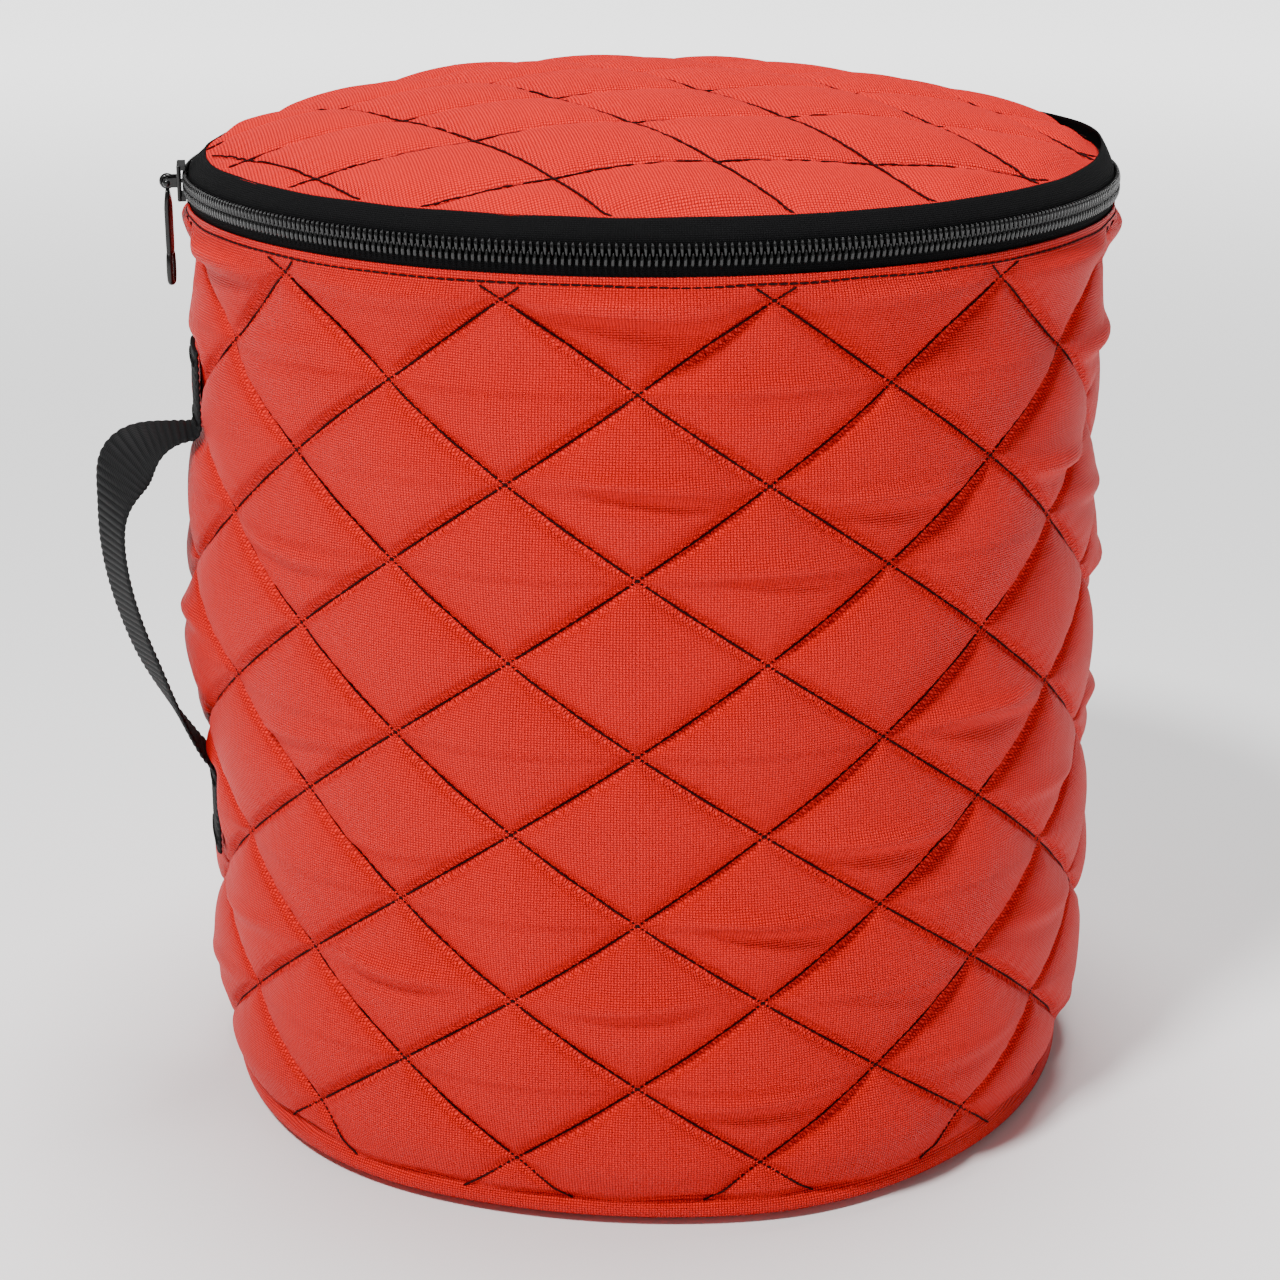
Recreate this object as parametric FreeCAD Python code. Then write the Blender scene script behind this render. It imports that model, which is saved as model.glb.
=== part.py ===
"""Round quilted drum bag with a zipped, hinged lid and one webbing side handle.

Frame: +Z up, origin at the centre of the base on the floor, millimetres.
The hinge of the lid is at the back (+Y) and the handle is on the left (-X).
Compass angles are in degrees from the front (-Y), positive towards the right (+X).
"""
import FreeCAD
import Part
import math
import os

Vector = FreeCAD.Vector

# --- driving dimensions -------------------------------------------------------------------------
WALL_R = 141.0            # outer radius of the wall
RIM_R = 141.6             # outer radius of the wall's hem, where it meets the zip
FOOT_R = 5.0              # rounding of the wall's lower edge
HEM_Z = 282.0             # upper edge of the wall's shell fabric
QUILT_TOP_Z = 268.0       # upper edge of the wall's wadding and lining
FLARE_Z = 235.0           # height where the wall starts to widen towards the rim

SHELL_T = 0.6             # shell fabric
WADDING_T = 6.8           # wadding between shell and lining
LINING_T = 0.6            # lining fabric
BASE_SHELL_T = 0.8
BASE_WADDING_T = 4.6
BASE_SHELL_R = 137.0

CHAIN_Z = 288.4           # middle of the zip chain
CHAIN_GAP = 1.0           # free slot between the two coils, where the slider's neck runs
COIL_H = 2.5              # height of one coil
COIL_T = 1.8              # how far a coil stands out of its tape
TAPE_T = 0.6
TAPE_BOTTOM_Z = 272.0
TAPE_R = RIM_R - SHELL_T  # outer face of both tapes

LID_EDGE_R = 136.8
LID_EDGE_Z = 297.4
LID_TOP_Z = 313.5
LID_WADDING_T = 6.4

HINGE_HALF = 18.0         # half angle of the fabric hinge at the back
ZIP_END = 20.5            # angle from the back where the chain ends

SLIDER_AT = -82.0         # compass angle of the slider with the lid closed
SLIDER_LEN = 13.0
SLIDER_W = 10.8
PLATE_T = 1.2
CROWN_R = 147.4           # radius of the crown bar's centre line
CROWN_BAR_D = 1.6
TAB_LEN = 31.0
TAB_W = 6.0
TAB_T = 1.5

HANDLE_AT = -79.0         # compass angle of the handle
STRAP_W = 25.0
STRAP_T = 1.6
TAIL_TOP_Z = 240.0
TAIL_LEN = 27.0
LOWER_TAIL_TOP_Z = 104.0
LOOP_TOP_REACH = 44.0     # how far straight out the loop heads as it leaves the upper tail
LOOP_LOW_REACH = 29.0     # how far out it heads from the lower tail,
LOOP_LOW_RISE = 44.0      # and how far up
GRIP_TOP_Z = 197.0        # the grip is the stretch that swings
GRIP_BOTTOM_Z = 130.0
CUT_GAP = 0.5

BACK = 180.0
FULL_TURN = 360.0


# --- helpers ------------------------------------------------------------------------------------
def at(angle, radius, z):
    """Point at a compass angle, a radius and a height."""
    a = math.radians(angle)
    return Vector(radius * math.sin(a), -radius * math.cos(a), z)


def section(edges_rz, angle):
    """Face in the upright half plane at one compass angle, from pieces of outline in (radius, z).

    A piece is a list of points: two make a line, three make an arc through them all, and
    more make a smooth curve through them all.
    """
    edges = []
    for piece in edges_rz:
        points = [at(angle, r, z) for r, z in piece]
        if len(points) == 2:
            edges.append(Part.LineSegment(points[0], points[1]).toShape())
        elif len(points) == 3:
            edges.append(Part.Arc(points[0], points[1], points[2]).toShape())
        else:
            curve = Part.BSplineCurve()
            curve.interpolate(Points=points)
            edges.append(curve.toShape())
    return Part.Face(Part.Wire(Part.__sortEdges__(edges)))


def turned(edges_rz, start=0.0, sweep=FULL_TURN):
    """Solid swept about Z by a section, from one compass angle through a sweep."""
    return section(edges_rz, start).revolve(Vector(0, 0, 0), Vector(0, 0, 1), sweep)


def polygon(points):
    """Closed outline of straight pieces through the points."""
    return [[a, b] for a, b in zip(points, points[1:] + points[:1])]


def ring(r_in, r_out, z_low, z_high, start=0.0, sweep=FULL_TURN):
    """Ring, or part of one, with a rectangular section."""
    corners = [(r_in, z_low), (r_out, z_low), (r_out, z_high), (r_in, z_high)]
    return turned(polygon(corners), start, sweep)


def disc(radius, z_low, z_high):
    """Flat round plate about Z."""
    return Part.makeCylinder(radius, z_high - z_low, Vector(0, 0, z_low))


def block(angle, r_mid, z_mid, size_r, size_t, size_z):
    """Box centred at a radius and a height, square to the wall at one compass angle."""
    corner = Vector(-size_t / 2, -r_mid - size_r / 2, z_mid - size_z / 2)
    box = Part.makeBox(size_t, size_r, size_z, corner)
    box.rotate(Vector(0, 0, 0), Vector(0, 0, 1), angle)
    return box


def save(name, *shapes):
    """Write one node, of one or more closed solids."""
    shape = shapes[0] if len(shapes) == 1 else Part.makeCompound(list(shapes))
    assert shape.isValid(), name
    shape.exportStep("parts/" + name + ".step")
    print("%-22s %10.1f mm3" % (name, shape.Volume))


# --- wall and base ------------------------------------------------------------------------------
def wall_curve(inset, low, high):
    """Outline of one wall layer's face, upwards: rounded foot, straight side, flared rim."""
    side, rim = WALL_R - inset, RIM_R - inset
    foot_mid = FOOT_R * (1.0 - math.sqrt(0.5))
    foot = [(side - FOOT_R, low), (side - foot_mid, low + foot_mid), (side, low + FOOT_R)]
    flare_span = QUILT_TOP_Z - FLARE_Z
    flare = [(side, FLARE_Z)]
    for step in (0.25, 0.5, 0.75):
        rise = 3 * step ** 2 - 2 * step ** 3
        flare.append((side + (rim - side) * rise, FLARE_Z + flare_span * step))
    flare.append((rim, QUILT_TOP_Z))
    pieces = [foot, [(side, low + FOOT_R), (side, FLARE_Z)], flare]
    if high > QUILT_TOP_Z:
        pieces.append([(rim, QUILT_TOP_Z), (rim, high)])
    return pieces


def wall_layer(inset, thickness, high):
    """One layer of the wall, between two outlines that differ only by its thickness."""
    low = BASE_SHELL_T
    outer = wall_curve(inset, low, high)
    inner = wall_curve(inset + thickness, low, high)
    bottom = [inner[0][0], outer[0][0]]
    top = [outer[-1][-1], inner[-1][-1]]
    return turned(outer + inner + [bottom, top])


def build_wall():
    """Shell, wadding and lining of the wall, with the inside bindings."""
    lining_at = SHELL_T + WADDING_T
    lining_r = WALL_R - lining_at - LINING_T
    save("wall_shell", wall_layer(0.0, SHELL_T, HEM_Z))
    save("wall_wadding", wall_layer(SHELL_T, WADDING_T, QUILT_TOP_Z))
    save("wall_lining", wall_layer(lining_at, LINING_T, QUILT_TOP_Z))
    seam_width_deg = 5.0
    seam_t = 0.9
    save("wall_seam_binding",
         ring(lining_r - seam_t, lining_r, 16.0, FLARE_Z - 1.0, BACK - seam_width_deg / 2, seam_width_deg))
    binding_in = RIM_R - SHELL_T - TAPE_T - 2.0
    save("rim_binding", ring(binding_in, TAPE_R - TAPE_T, QUILT_TOP_Z, HEM_Z - 1.0))
    stitch_z = HEM_Z - 2.1
    save("rim_topstitch", ring(RIM_R, RIM_R + 0.35, stitch_z - 0.3, stitch_z + 0.3))


def build_base():
    """Base panel under the wall's foot, and the bound seam inside the corner."""
    wadding_top = BASE_SHELL_T + BASE_WADDING_T
    lining_top = wadding_top + LINING_T
    inside_foot_r = WALL_R - FOOT_R - SHELL_T - WADDING_T - LINING_T
    save("base_shell", disc(BASE_SHELL_R, 0.0, BASE_SHELL_T))
    save("base_wadding", disc(inside_foot_r, BASE_SHELL_T, wadding_top))
    save("base_lining", disc(inside_foot_r, wadding_top, lining_top))
    save("base_seam_binding", ring(inside_foot_r - 1.6, inside_foot_r, lining_top, lining_top + 8.0))


# --- lid ----------------------------------------------------------------------------------------
def lid_curve(drop):
    """Outline of one lid layer's face, from the edge to the crown."""
    points = [(LID_EDGE_R, LID_EDGE_Z), (131.0, 301.0), (114.0, 305.8), (70.0, 311.2), (0.0, LID_TOP_Z)]
    return [(r, z - drop) for r, z in points]


def lid_layer(drop, thickness):
    """One layer of the lid, between two outlines that differ only by its thickness."""
    upper = lid_curve(drop)
    lower = lid_curve(drop + thickness)
    return turned([upper, [upper[-1], lower[-1]], lower, [lower[0], upper[0]]])


def build_lid():
    """Shell, wadding and lining of the lid, with the binding inside its edge."""
    lining_drop = SHELL_T + LID_WADDING_T
    save("lid_shell", lid_layer(0.0, SHELL_T))
    save("lid_wadding", lid_layer(SHELL_T, LID_WADDING_T))
    save("lid_lining", lid_layer(lining_drop, LINING_T))
    save("lid_binding", ring(LID_EDGE_R, LID_EDGE_R + 1.0, 290.0, 295.0))


# --- zip ----------------------------------------------------------------------------------------
def coil(z_low, start, sweep):
    """One coil of the chain: flat against its tape, round on the outside."""
    z_high, z_mid = z_low + COIL_H, z_low + COIL_H / 2
    flat_r = TAPE_R + 0.6
    outline = polygon([(TAPE_R, z_low), (flat_r, z_low), (flat_r, z_high), (TAPE_R, z_high)])
    outline[1] = [(flat_r, z_low), (TAPE_R + COIL_T, z_mid), (flat_r, z_high)]
    return turned(outline, start, sweep)


def upper_tape(start, sweep, z_low):
    """Tape that stands up from the chain and leans in to the lid's edge."""
    bend_z, top_z, top_r = 291.6, 297.4, LID_EDGE_R + 0.7
    outer = [(TAPE_R, z_low), (TAPE_R, bend_z), (top_r, top_z)]
    inner = [(r - TAPE_T, z) for r, z in reversed(outer)]
    return turned(polygon(outer + inner), start, sweep)


def build_zip():
    """Tapes, coils, end stops and the fabric hinge between the chain's two ends."""
    chain_start = -BACK + ZIP_END
    chain_sweep = FULL_TURN - 2 * ZIP_END
    lower_top = CHAIN_Z - CHAIN_GAP / 2
    upper_bottom = CHAIN_Z + CHAIN_GAP / 2
    coil_low = lower_top - COIL_H
    tape_clear = 0.5
    tape_end = HINGE_HALF + 0.2
    tape_start, tape_sweep = -BACK + tape_end, FULL_TURN - 2 * tape_end
    save("zip_tape_lower",
         ring(TAPE_R - TAPE_T, TAPE_R, TAPE_BOTTOM_Z, lower_top - tape_clear, tape_start, tape_sweep))
    save("zip_tape_upper", upper_tape(tape_start, tape_sweep, upper_bottom + tape_clear))
    save("zip_coil_lower", coil(coil_low, chain_start, chain_sweep))
    save("zip_coil_upper", coil(upper_bottom, chain_start, chain_sweep))
    stop_sweep, stop_h = 0.9, 2.2
    stops = (chain_start - stop_sweep - 0.1, chain_start + chain_sweep + 0.1)
    save("zip_stops_lower",
         *[ring(TAPE_R, TAPE_R + 2.0, lower_top - 0.3 - stop_h, lower_top - 0.3, a, stop_sweep) for a in stops])
    save("zip_stops_upper",
         *[ring(TAPE_R, TAPE_R + 2.0, upper_bottom + 0.3, upper_bottom + 0.3 + stop_h, a, stop_sweep)
           for a in stops])
    fold_gap = 0.3
    hinge_start, hinge_sweep = BACK - HINGE_HALF, 2 * HINGE_HALF
    save("hinge_panel_lower",
         ring(TAPE_R - TAPE_T, TAPE_R, TAPE_BOTTOM_Z, CHAIN_Z - fold_gap, hinge_start, hinge_sweep))
    save("hinge_panel_upper", upper_tape(hinge_start, hinge_sweep, CHAIN_Z + fold_gap))


# --- slider and pull tab ------------------------------------------------------------------------
def build_slider():
    """Slider on the chain: two plates, lower and upper flange, neck, and a crown for the pull."""
    running_gap = 0.4
    face_r = TAPE_R + COIL_T + running_gap
    outer = block(SLIDER_AT, face_r + PLATE_T / 2, CHAIN_Z, PLATE_T, SLIDER_LEN, SLIDER_W)
    outer = outer.makeFillet(0.5, outer.Edges)
    inner_t, inner_w = 1.4, 6.0
    inner_r = TAPE_R - TAPE_T - 0.7 - inner_t / 2
    inner = block(SLIDER_AT, inner_r, CHAIN_Z, inner_t, SLIDER_LEN, inner_w)
    inner = inner.makeFillet(0.4, inner.Edges)
    neck_t, neck_len = 0.5, 5.0
    neck_in, neck_out = inner_r, face_r + PLATE_T / 2
    neck = block(SLIDER_AT, (neck_in + neck_out) / 2, CHAIN_Z, neck_out - neck_in, neck_len, neck_t)
    flange_t, flange_depth = 1.5, 1.4
    body = outer.fuse([inner, neck])
    for side in (-1, 1):
        flange_z = CHAIN_Z + side * (SLIDER_W - flange_t) / 2
        body = body.fuse(block(SLIDER_AT, face_r + 0.2 - flange_depth / 2, flange_z,
                               flange_depth + 0.4, SLIDER_LEN - 1.4, flange_t))
    save("slider_body", body)

    plate_r = face_r + PLATE_T
    half_span = 4.0
    direction = at(SLIDER_AT + 90.0, 1.0, 0.0)
    middle = at(SLIDER_AT, CROWN_R, CHAIN_Z)
    bar = Part.makeCylinder(CROWN_BAR_D / 2, 2 * half_span, middle - direction * half_span, direction)
    crown = bar
    for side in (-1, 1):
        post_r = (plate_r + CROWN_R) / 2
        post = block(SLIDER_AT, post_r, CHAIN_Z, CROWN_R - plate_r, CROWN_BAR_D, 2.6)
        post.translate(direction * (side * half_span))
        cap = Part.makeSphere(1.3, middle + direction * (side * half_span))
        crown = crown.fuse([post, cap])
    save("slider_crown", crown)


def build_pull_tab():
    """Pull tab that hangs from the crown: an eye round the bar, a flat blade and a slot."""
    direction = at(SLIDER_AT + 90.0, 1.0, 0.0)
    middle = at(SLIDER_AT, CROWN_R, CHAIN_Z)
    eye_r, eye_bore_r, eye_len = 2.6, CROWN_BAR_D / 2 + 0.35, 4.2
    eye = Part.makeCylinder(eye_r, eye_len, middle - direction * (eye_len / 2), direction)
    blade_top = CHAIN_Z - eye_bore_r - 0.5
    blade_bottom = CHAIN_Z - TAB_LEN
    blade = block(SLIDER_AT, CROWN_R, (blade_top + blade_bottom) / 2, TAB_T, TAB_W, blade_top - blade_bottom)
    blade = blade.makeFillet(0.6, blade.Edges)
    bore = Part.makeCylinder(eye_bore_r, 3 * eye_len, middle - direction * (1.5 * eye_len), direction)
    slot_w, slot_h, slot_up = 2.4, 6.0, 3.0
    slot = block(SLIDER_AT, CROWN_R, blade_bottom + slot_up + slot_h / 2, 3 * TAB_T, slot_w, slot_h)
    slot = slot.makeFillet(0.8, slot.Edges)
    save("pull_tab", eye.fuse(blade).cut(bore).cut(slot))


# --- handle -------------------------------------------------------------------------------------
def strap_curve():
    """Middle line of the handle's loop: a Bezier curve from the upper tail to the lower tail."""
    root_r = WALL_R + 0.2 + STRAP_T / 2
    upper_z = TAIL_TOP_Z - TAIL_LEN
    curve = Part.BezierCurve()
    curve.setPoles([at(HANDLE_AT, root_r, upper_z),
                    at(HANDLE_AT, root_r + LOOP_TOP_REACH, upper_z),
                    at(HANDLE_AT, root_r + LOOP_LOW_REACH, LOWER_TAIL_TOP_Z + LOOP_LOW_RISE),
                    at(HANDLE_AT, root_r, LOWER_TAIL_TOP_Z)])
    return curve


def strap_loop():
    """Whole loop of the handle: a flat strap of even thickness, square to the wall."""
    curve = strap_curve()
    across = at(HANDLE_AT + 90.0, 1.0, 0.0)
    samples = 48
    sides = ([], [])
    for i in range(samples + 1):
        t = curve.FirstParameter + (curve.LastParameter - curve.FirstParameter) * i / samples
        point, tangent = curve.value(t), curve.tangent(t)[0]
        normal = tangent.cross(across).normalize()
        sides[0].append(point + normal * (STRAP_T / 2))
        sides[1].append(point - normal * (STRAP_T / 2))
    faces = []
    for side in sides:
        edge = Part.BSplineCurve()
        edge.interpolate(Points=side)
        faces.append(edge.toShape())
    ends = [Part.LineSegment(sides[0][k], sides[1][k]).toShape() for k in (0, -1)]
    flat = Part.Face(Part.Wire(Part.__sortEdges__(faces + ends)))
    flat.translate(across * (-STRAP_W / 2))
    return flat.extrude(across * STRAP_W)


def slab(z_low, z_high):
    """Block that keeps what lies between two heights on the handle's side."""
    return Part.makeBox(400.0, 400.0, z_high - z_low, Vector(-200.0, -200.0, z_low))


def build_handle():
    """Sewn tails, fixed roots and swinging grip of the strap, and the tails' stitching."""
    half_deg = math.degrees(STRAP_W / 2 / WALL_R)
    tail_in, tail_out = WALL_R + 0.2, WALL_R + 0.2 + STRAP_T
    start, sweep = HANDLE_AT - half_deg, 2 * half_deg
    upper_low = TAIL_TOP_Z - TAIL_LEN + 0.8
    lower_high = LOWER_TAIL_TOP_Z - 0.8
    lower_low = LOWER_TAIL_TOP_Z - TAIL_LEN
    save("handle_tail_upper", ring(tail_in, tail_out, upper_low, TAIL_TOP_Z, start, sweep))
    save("handle_tail_lower", ring(tail_in, tail_out, lower_low, lower_high, start, sweep))

    loop = strap_loop()
    save("handle_root_upper", loop.common(slab(GRIP_TOP_Z + CUT_GAP / 2, TAIL_TOP_Z)).Solids[0])
    save("handle_grip", loop.common(slab(GRIP_BOTTOM_Z, GRIP_TOP_Z - CUT_GAP / 2)).Solids[0])
    save("handle_root_lower", loop.common(slab(0.0, GRIP_BOTTOM_Z - CUT_GAP)).Solids[0])

    tacks = []
    tack_t, tack_h, inset_deg = 0.4, 1.6, 1.0
    for low, high in ((upper_low, TAIL_TOP_Z), (lower_low, lower_high)):
        for z in (low + 3.0, high - 5.0):
            tacks.append(ring(tail_out, tail_out + tack_t, z, z + tack_h,
                              start + inset_deg, sweep - 2 * inset_deg))
    save("handle_tacks", *tacks)


def main():
    """Write every node of the bag."""
    os.makedirs("parts", exist_ok=True)
    build_wall()
    build_base()
    build_lid()
    build_zip()
    build_slider()
    build_pull_tab()
    build_handle()


main()
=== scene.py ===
"""Quilted drum bag: the visible surfaces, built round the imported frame.

Compass angles are measured from the front (-Y), positive towards the right (+X). Lengths are in metres.
"""
import logging
import math
from dataclasses import dataclass, field
from enum import Enum

import bpy
import numpy as np
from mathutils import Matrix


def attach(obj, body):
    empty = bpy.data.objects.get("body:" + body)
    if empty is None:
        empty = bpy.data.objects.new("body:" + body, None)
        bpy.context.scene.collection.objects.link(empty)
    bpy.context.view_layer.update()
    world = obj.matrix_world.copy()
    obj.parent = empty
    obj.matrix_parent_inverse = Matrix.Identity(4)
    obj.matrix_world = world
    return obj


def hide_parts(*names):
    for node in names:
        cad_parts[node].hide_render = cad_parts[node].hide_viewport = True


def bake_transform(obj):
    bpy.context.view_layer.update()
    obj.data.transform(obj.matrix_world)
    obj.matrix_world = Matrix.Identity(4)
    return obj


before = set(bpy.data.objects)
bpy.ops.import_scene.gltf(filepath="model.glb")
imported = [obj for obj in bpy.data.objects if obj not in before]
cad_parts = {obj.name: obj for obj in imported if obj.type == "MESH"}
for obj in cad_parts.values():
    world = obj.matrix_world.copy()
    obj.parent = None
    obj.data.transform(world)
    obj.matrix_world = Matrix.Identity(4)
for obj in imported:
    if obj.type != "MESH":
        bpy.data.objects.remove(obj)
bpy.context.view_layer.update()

MM = 0.001
log = logging.getLogger("drum_bag")


# ------------------------------------------------------------------------------------------------
# Small mathematics
# ------------------------------------------------------------------------------------------------
def on_drum(angle: np.ndarray, radius: np.ndarray, height: np.ndarray) -> np.ndarray:
    """Points at compass angles, radii and heights.

    Args:
        angle: Compass angles in radians.
        radius: Distances from the drum's axis.
        height: Heights above the floor.

    Returns:
        Array whose last axis is x, y, z: x = r sin(angle), y = -r cos(angle).
    """
    angle, radius, height = np.broadcast_arrays(angle, radius, height)
    return np.stack([radius * np.sin(angle), -radius * np.cos(angle), height], axis=-1)


def smooth_step(value: np.ndarray, low: float, high: float) -> np.ndarray:
    """Rise from 0 at low to 1 at high along 3t^2 - 2t^3.

    Args:
        value: Where to read the curve.
        low: Value that gives 0.
        high: Value that gives 1.

    Returns:
        Array of the same shape as value.
    """
    t = np.clip((np.asarray(value, float) - low) / (high - low), 0.0, 1.0)
    return t * t * (3.0 - 2.0 * t)


def soft_noise(x: np.ndarray, y: np.ndarray, seed: int, waves: int = 24) -> np.ndarray:
    """Smooth seeded noise: a sum of plane cosine waves of random direction and phase.

    Args:
        x: First coordinate, in wavelengths.
        y: Second coordinate, in wavelengths.
        seed: Seed of the directions and phases.
        waves: Number of waves in the sum.

    Returns:
        Values of about -1 to 1.
    """
    rng = np.random.default_rng(seed)
    total = np.zeros(np.broadcast(x, y).shape)
    for turn, phase, stretch in zip(rng.uniform(0, 2 * math.pi, waves), rng.uniform(0, 2 * math.pi, waves),
                                    rng.uniform(0.5, 1.6, waves)):
        total += np.cos(2 * math.pi * stretch * (x * math.cos(turn) + y * math.sin(turn)) + phase)
    return total / math.sqrt(waves)


def refined(points: np.ndarray, axis: int, wrap: bool) -> np.ndarray:
    """Double a grid's rows with the four-point rule (-1, 9, 9, -1) / 16, which keeps the old points.

    Args:
        points: Grid of points.
        axis: Axis whose rows are doubled.
        wrap: Whether that axis closes on itself.

    Returns:
        Grid with 2n rows where it wraps, and 2n - 1 where it doesn't.
    """
    p = np.moveaxis(points, axis, 0)
    if wrap:
        before, here, after, beyond = (np.roll(p, k, axis=0) for k in (1, 0, -1, -2))
    else:
        here, after = p[:-1], p[1:]
        before = np.concatenate([2 * p[:1] - p[1:2], p[:-2]])
        beyond = np.concatenate([p[2:], 2 * p[-1:] - p[-2:-1]])
    middle = (9.0 * (here + after) - before - beyond) / 16.0
    both = np.empty((here.shape[0] + middle.shape[0] + (0 if wrap else 1),) + p.shape[1:])
    both[0::2] = p
    both[1::2] = middle
    return np.moveaxis(both, 0, axis)


# ------------------------------------------------------------------------------------------------
# Meshes from arrays
# ------------------------------------------------------------------------------------------------
def new_piece(name: str, points: np.ndarray, quads: np.ndarray, material: bpy.types.Material,
              uv: np.ndarray | None = None) -> bpy.types.Object:
    """Object from points and four-sided faces, shaded smooth and turned to face away from its middle.

    Args:
        name: Name of the object and its mesh.
        points: Array of shape (n, 3).
        quads: Array of shape (m, 4) of point numbers.
        material: Finish of the piece.
        uv: Array of shape (m, 4, 2), the surface coordinates of each corner in metres.

    Returns:
        The new object, linked to the scene.
    """
    centres = points[quads].mean(1) - points[quads].mean((0, 1))
    facing = np.cross(points[quads[:, 2]] - points[quads[:, 0]], points[quads[:, 3]] - points[quads[:, 1]])
    if float((centres * facing).sum()) < 0.0:
        quads = quads[:, ::-1]
        uv = None if uv is None else uv[:, ::-1]
    mesh = bpy.data.meshes.new(name)
    mesh.vertices.add(len(points))
    mesh.vertices.foreach_set("co", np.ascontiguousarray(points, np.float32).ravel())
    mesh.loops.add(4 * len(quads))
    mesh.polygons.add(len(quads))
    mesh.polygons.foreach_set("loop_start", np.arange(0, 4 * len(quads), 4, dtype=np.int32))
    mesh.polygons.foreach_set("vertices", np.ascontiguousarray(quads, np.int32).ravel())
    mesh.polygons.foreach_set("use_smooth", np.ones(len(quads), bool))
    if uv is not None:
        layer = mesh.uv_layers.new(name="Cloth")
        layer.uv.foreach_set("vector", np.ascontiguousarray(uv, np.float32).ravel())
    mesh.materials.append(material)
    mesh.update(calc_edges=True)
    mesh.validate()
    piece = bpy.data.objects.new(name, mesh)
    bpy.context.scene.collection.objects.link(piece)
    return piece


def grid_quads(rows: int, columns: int, wrap_rows: bool, wrap_columns: bool) -> np.ndarray:
    """Four-sided faces of a grid of points numbered row by row.

    Args:
        rows: Number of rows.
        columns: Number of columns.
        wrap_rows: Whether the last row joins the first.
        wrap_columns: Whether the last column joins the first.

    Returns:
        Array of shape (m, 4).
    """
    i, j = np.meshgrid(np.arange(rows if wrap_rows else rows - 1),
                       np.arange(columns if wrap_columns else columns - 1), indexing="ij")
    i2, j2 = (i + 1) % rows, (j + 1) % columns
    return np.stack([i * columns + j, i2 * columns + j, i2 * columns + j2, i * columns + j2], -1).reshape(-1, 4)


def split_in_valleys(quads: np.ndarray, uv: np.ndarray, level: np.ndarray) -> tuple[np.ndarray, np.ndarray]:
    """Start each face at the corner whose diagonal lies lower, since a face is drawn as two triangles.

    Args:
        quads: Faces, of shape (m, 4).
        uv: Their corner coordinates, of shape (m, 4, 2).
        level: Height of each point above the layer underneath.

    Returns:
        The faces and corner coordinates, turned by one corner where needed.
    """
    corner = level[quads]
    turn = corner[:, 1] + corner[:, 3] < corner[:, 0] + corner[:, 2]
    return (np.where(turn[:, None], np.roll(quads, 1, axis=1), quads),
            np.where(turn[:, None, None], np.roll(uv, 1, axis=1), uv))


def grid_uv(u: np.ndarray, v: np.ndarray) -> np.ndarray:
    """Corner coordinates of a grid's faces from one more line of values than there are faces.

    Args:
        u: First coordinate, of shape (face rows + 1, face columns + 1).
        v: Second coordinate, of the same shape.

    Returns:
        Array of shape (m, 4, 2), in the order of grid_quads.
    """
    both = np.stack([u, v], -1)
    corners = [both[:-1, :-1], both[1:, :-1], both[1:, 1:], both[:-1, 1:]]
    return np.stack(corners, 2).reshape(-1, 4, 2)


def stamped(name: str, shape: np.ndarray, quads: np.ndarray, origins: np.ndarray, axes: np.ndarray,
            material: bpy.types.Material) -> bpy.types.Object:
    """One mesh of many copies of a small shape: point = origin + x ex + y ey + z ez.

    Args:
        name: Name of the piece.
        shape: Points of the small shape, of shape (k, 3).
        quads: Its faces, of shape (f, 4).
        origins: Place of each copy, of shape (n, 3).
        axes: The three directions of each copy, of shape (n, 3, 3), one per row.
        material: Finish of the piece.

    Returns:
        The new object.
    """
    points = origins[:, None, :] + np.einsum("kc,ncd->nkd", shape, axes)
    offsets = (np.arange(len(origins)) * len(shape))[:, None, None]
    return new_piece(name, points.reshape(-1, 3), (quads[None] + offsets).reshape(-1, 4), material)


def bead(length: float, width: float, depth: float, bow: float = 0.0, rings: int = 4,
         sides: int = 6, taper: float = 1.0) -> tuple[np.ndarray, np.ndarray]:
    """Small rounded bar along x, like one stitch: its radius follows the fourth root of a half sine wave.

    Args:
        length: Size along x.
        width: Size along y.
        depth: Size along z.
        bow: How far the middle rises along z.
        rings: Rings of points along the bar.
        sides: Points round each ring, an even number.
        taper: Width at the far end, as a share of the width at the near end.

    Returns:
        Points and four-sided faces.
    """
    t = np.linspace(0.0, 1.0, rings)
    swell = np.sin(math.pi * (0.06 + 0.88 * t)) ** 0.25
    turn = np.arange(sides) * 2 * math.pi / sides
    x = np.repeat((t - 0.5)[:, None] * length, sides, 1)
    y = 0.5 * width * (swell * (1.0 + (taper - 1.0) * t))[:, None] * np.cos(turn)
    z = 0.5 * depth * swell[:, None] * np.sin(turn) + bow * np.sin(math.pi * t)[:, None]
    quads = grid_quads(rings, sides, False, True)
    caps = []
    for first, flip in ((0, False), ((rings - 1) * sides, True)):
        for k in range(1, sides - 2, 2):
            cap = [first, first + k, first + k + 1, first + k + 2]
            caps.append(cap[::-1] if flip else cap)
    return np.stack([x, y, z], -1).reshape(-1, 3), np.concatenate([quads[:, ::-1], np.array(caps)])


def unit(vectors: np.ndarray) -> np.ndarray:
    """Vectors scaled to length one along the last axis."""
    return vectors / np.maximum(np.linalg.norm(vectors, axis=-1, keepdims=True), 1e-12)


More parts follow.
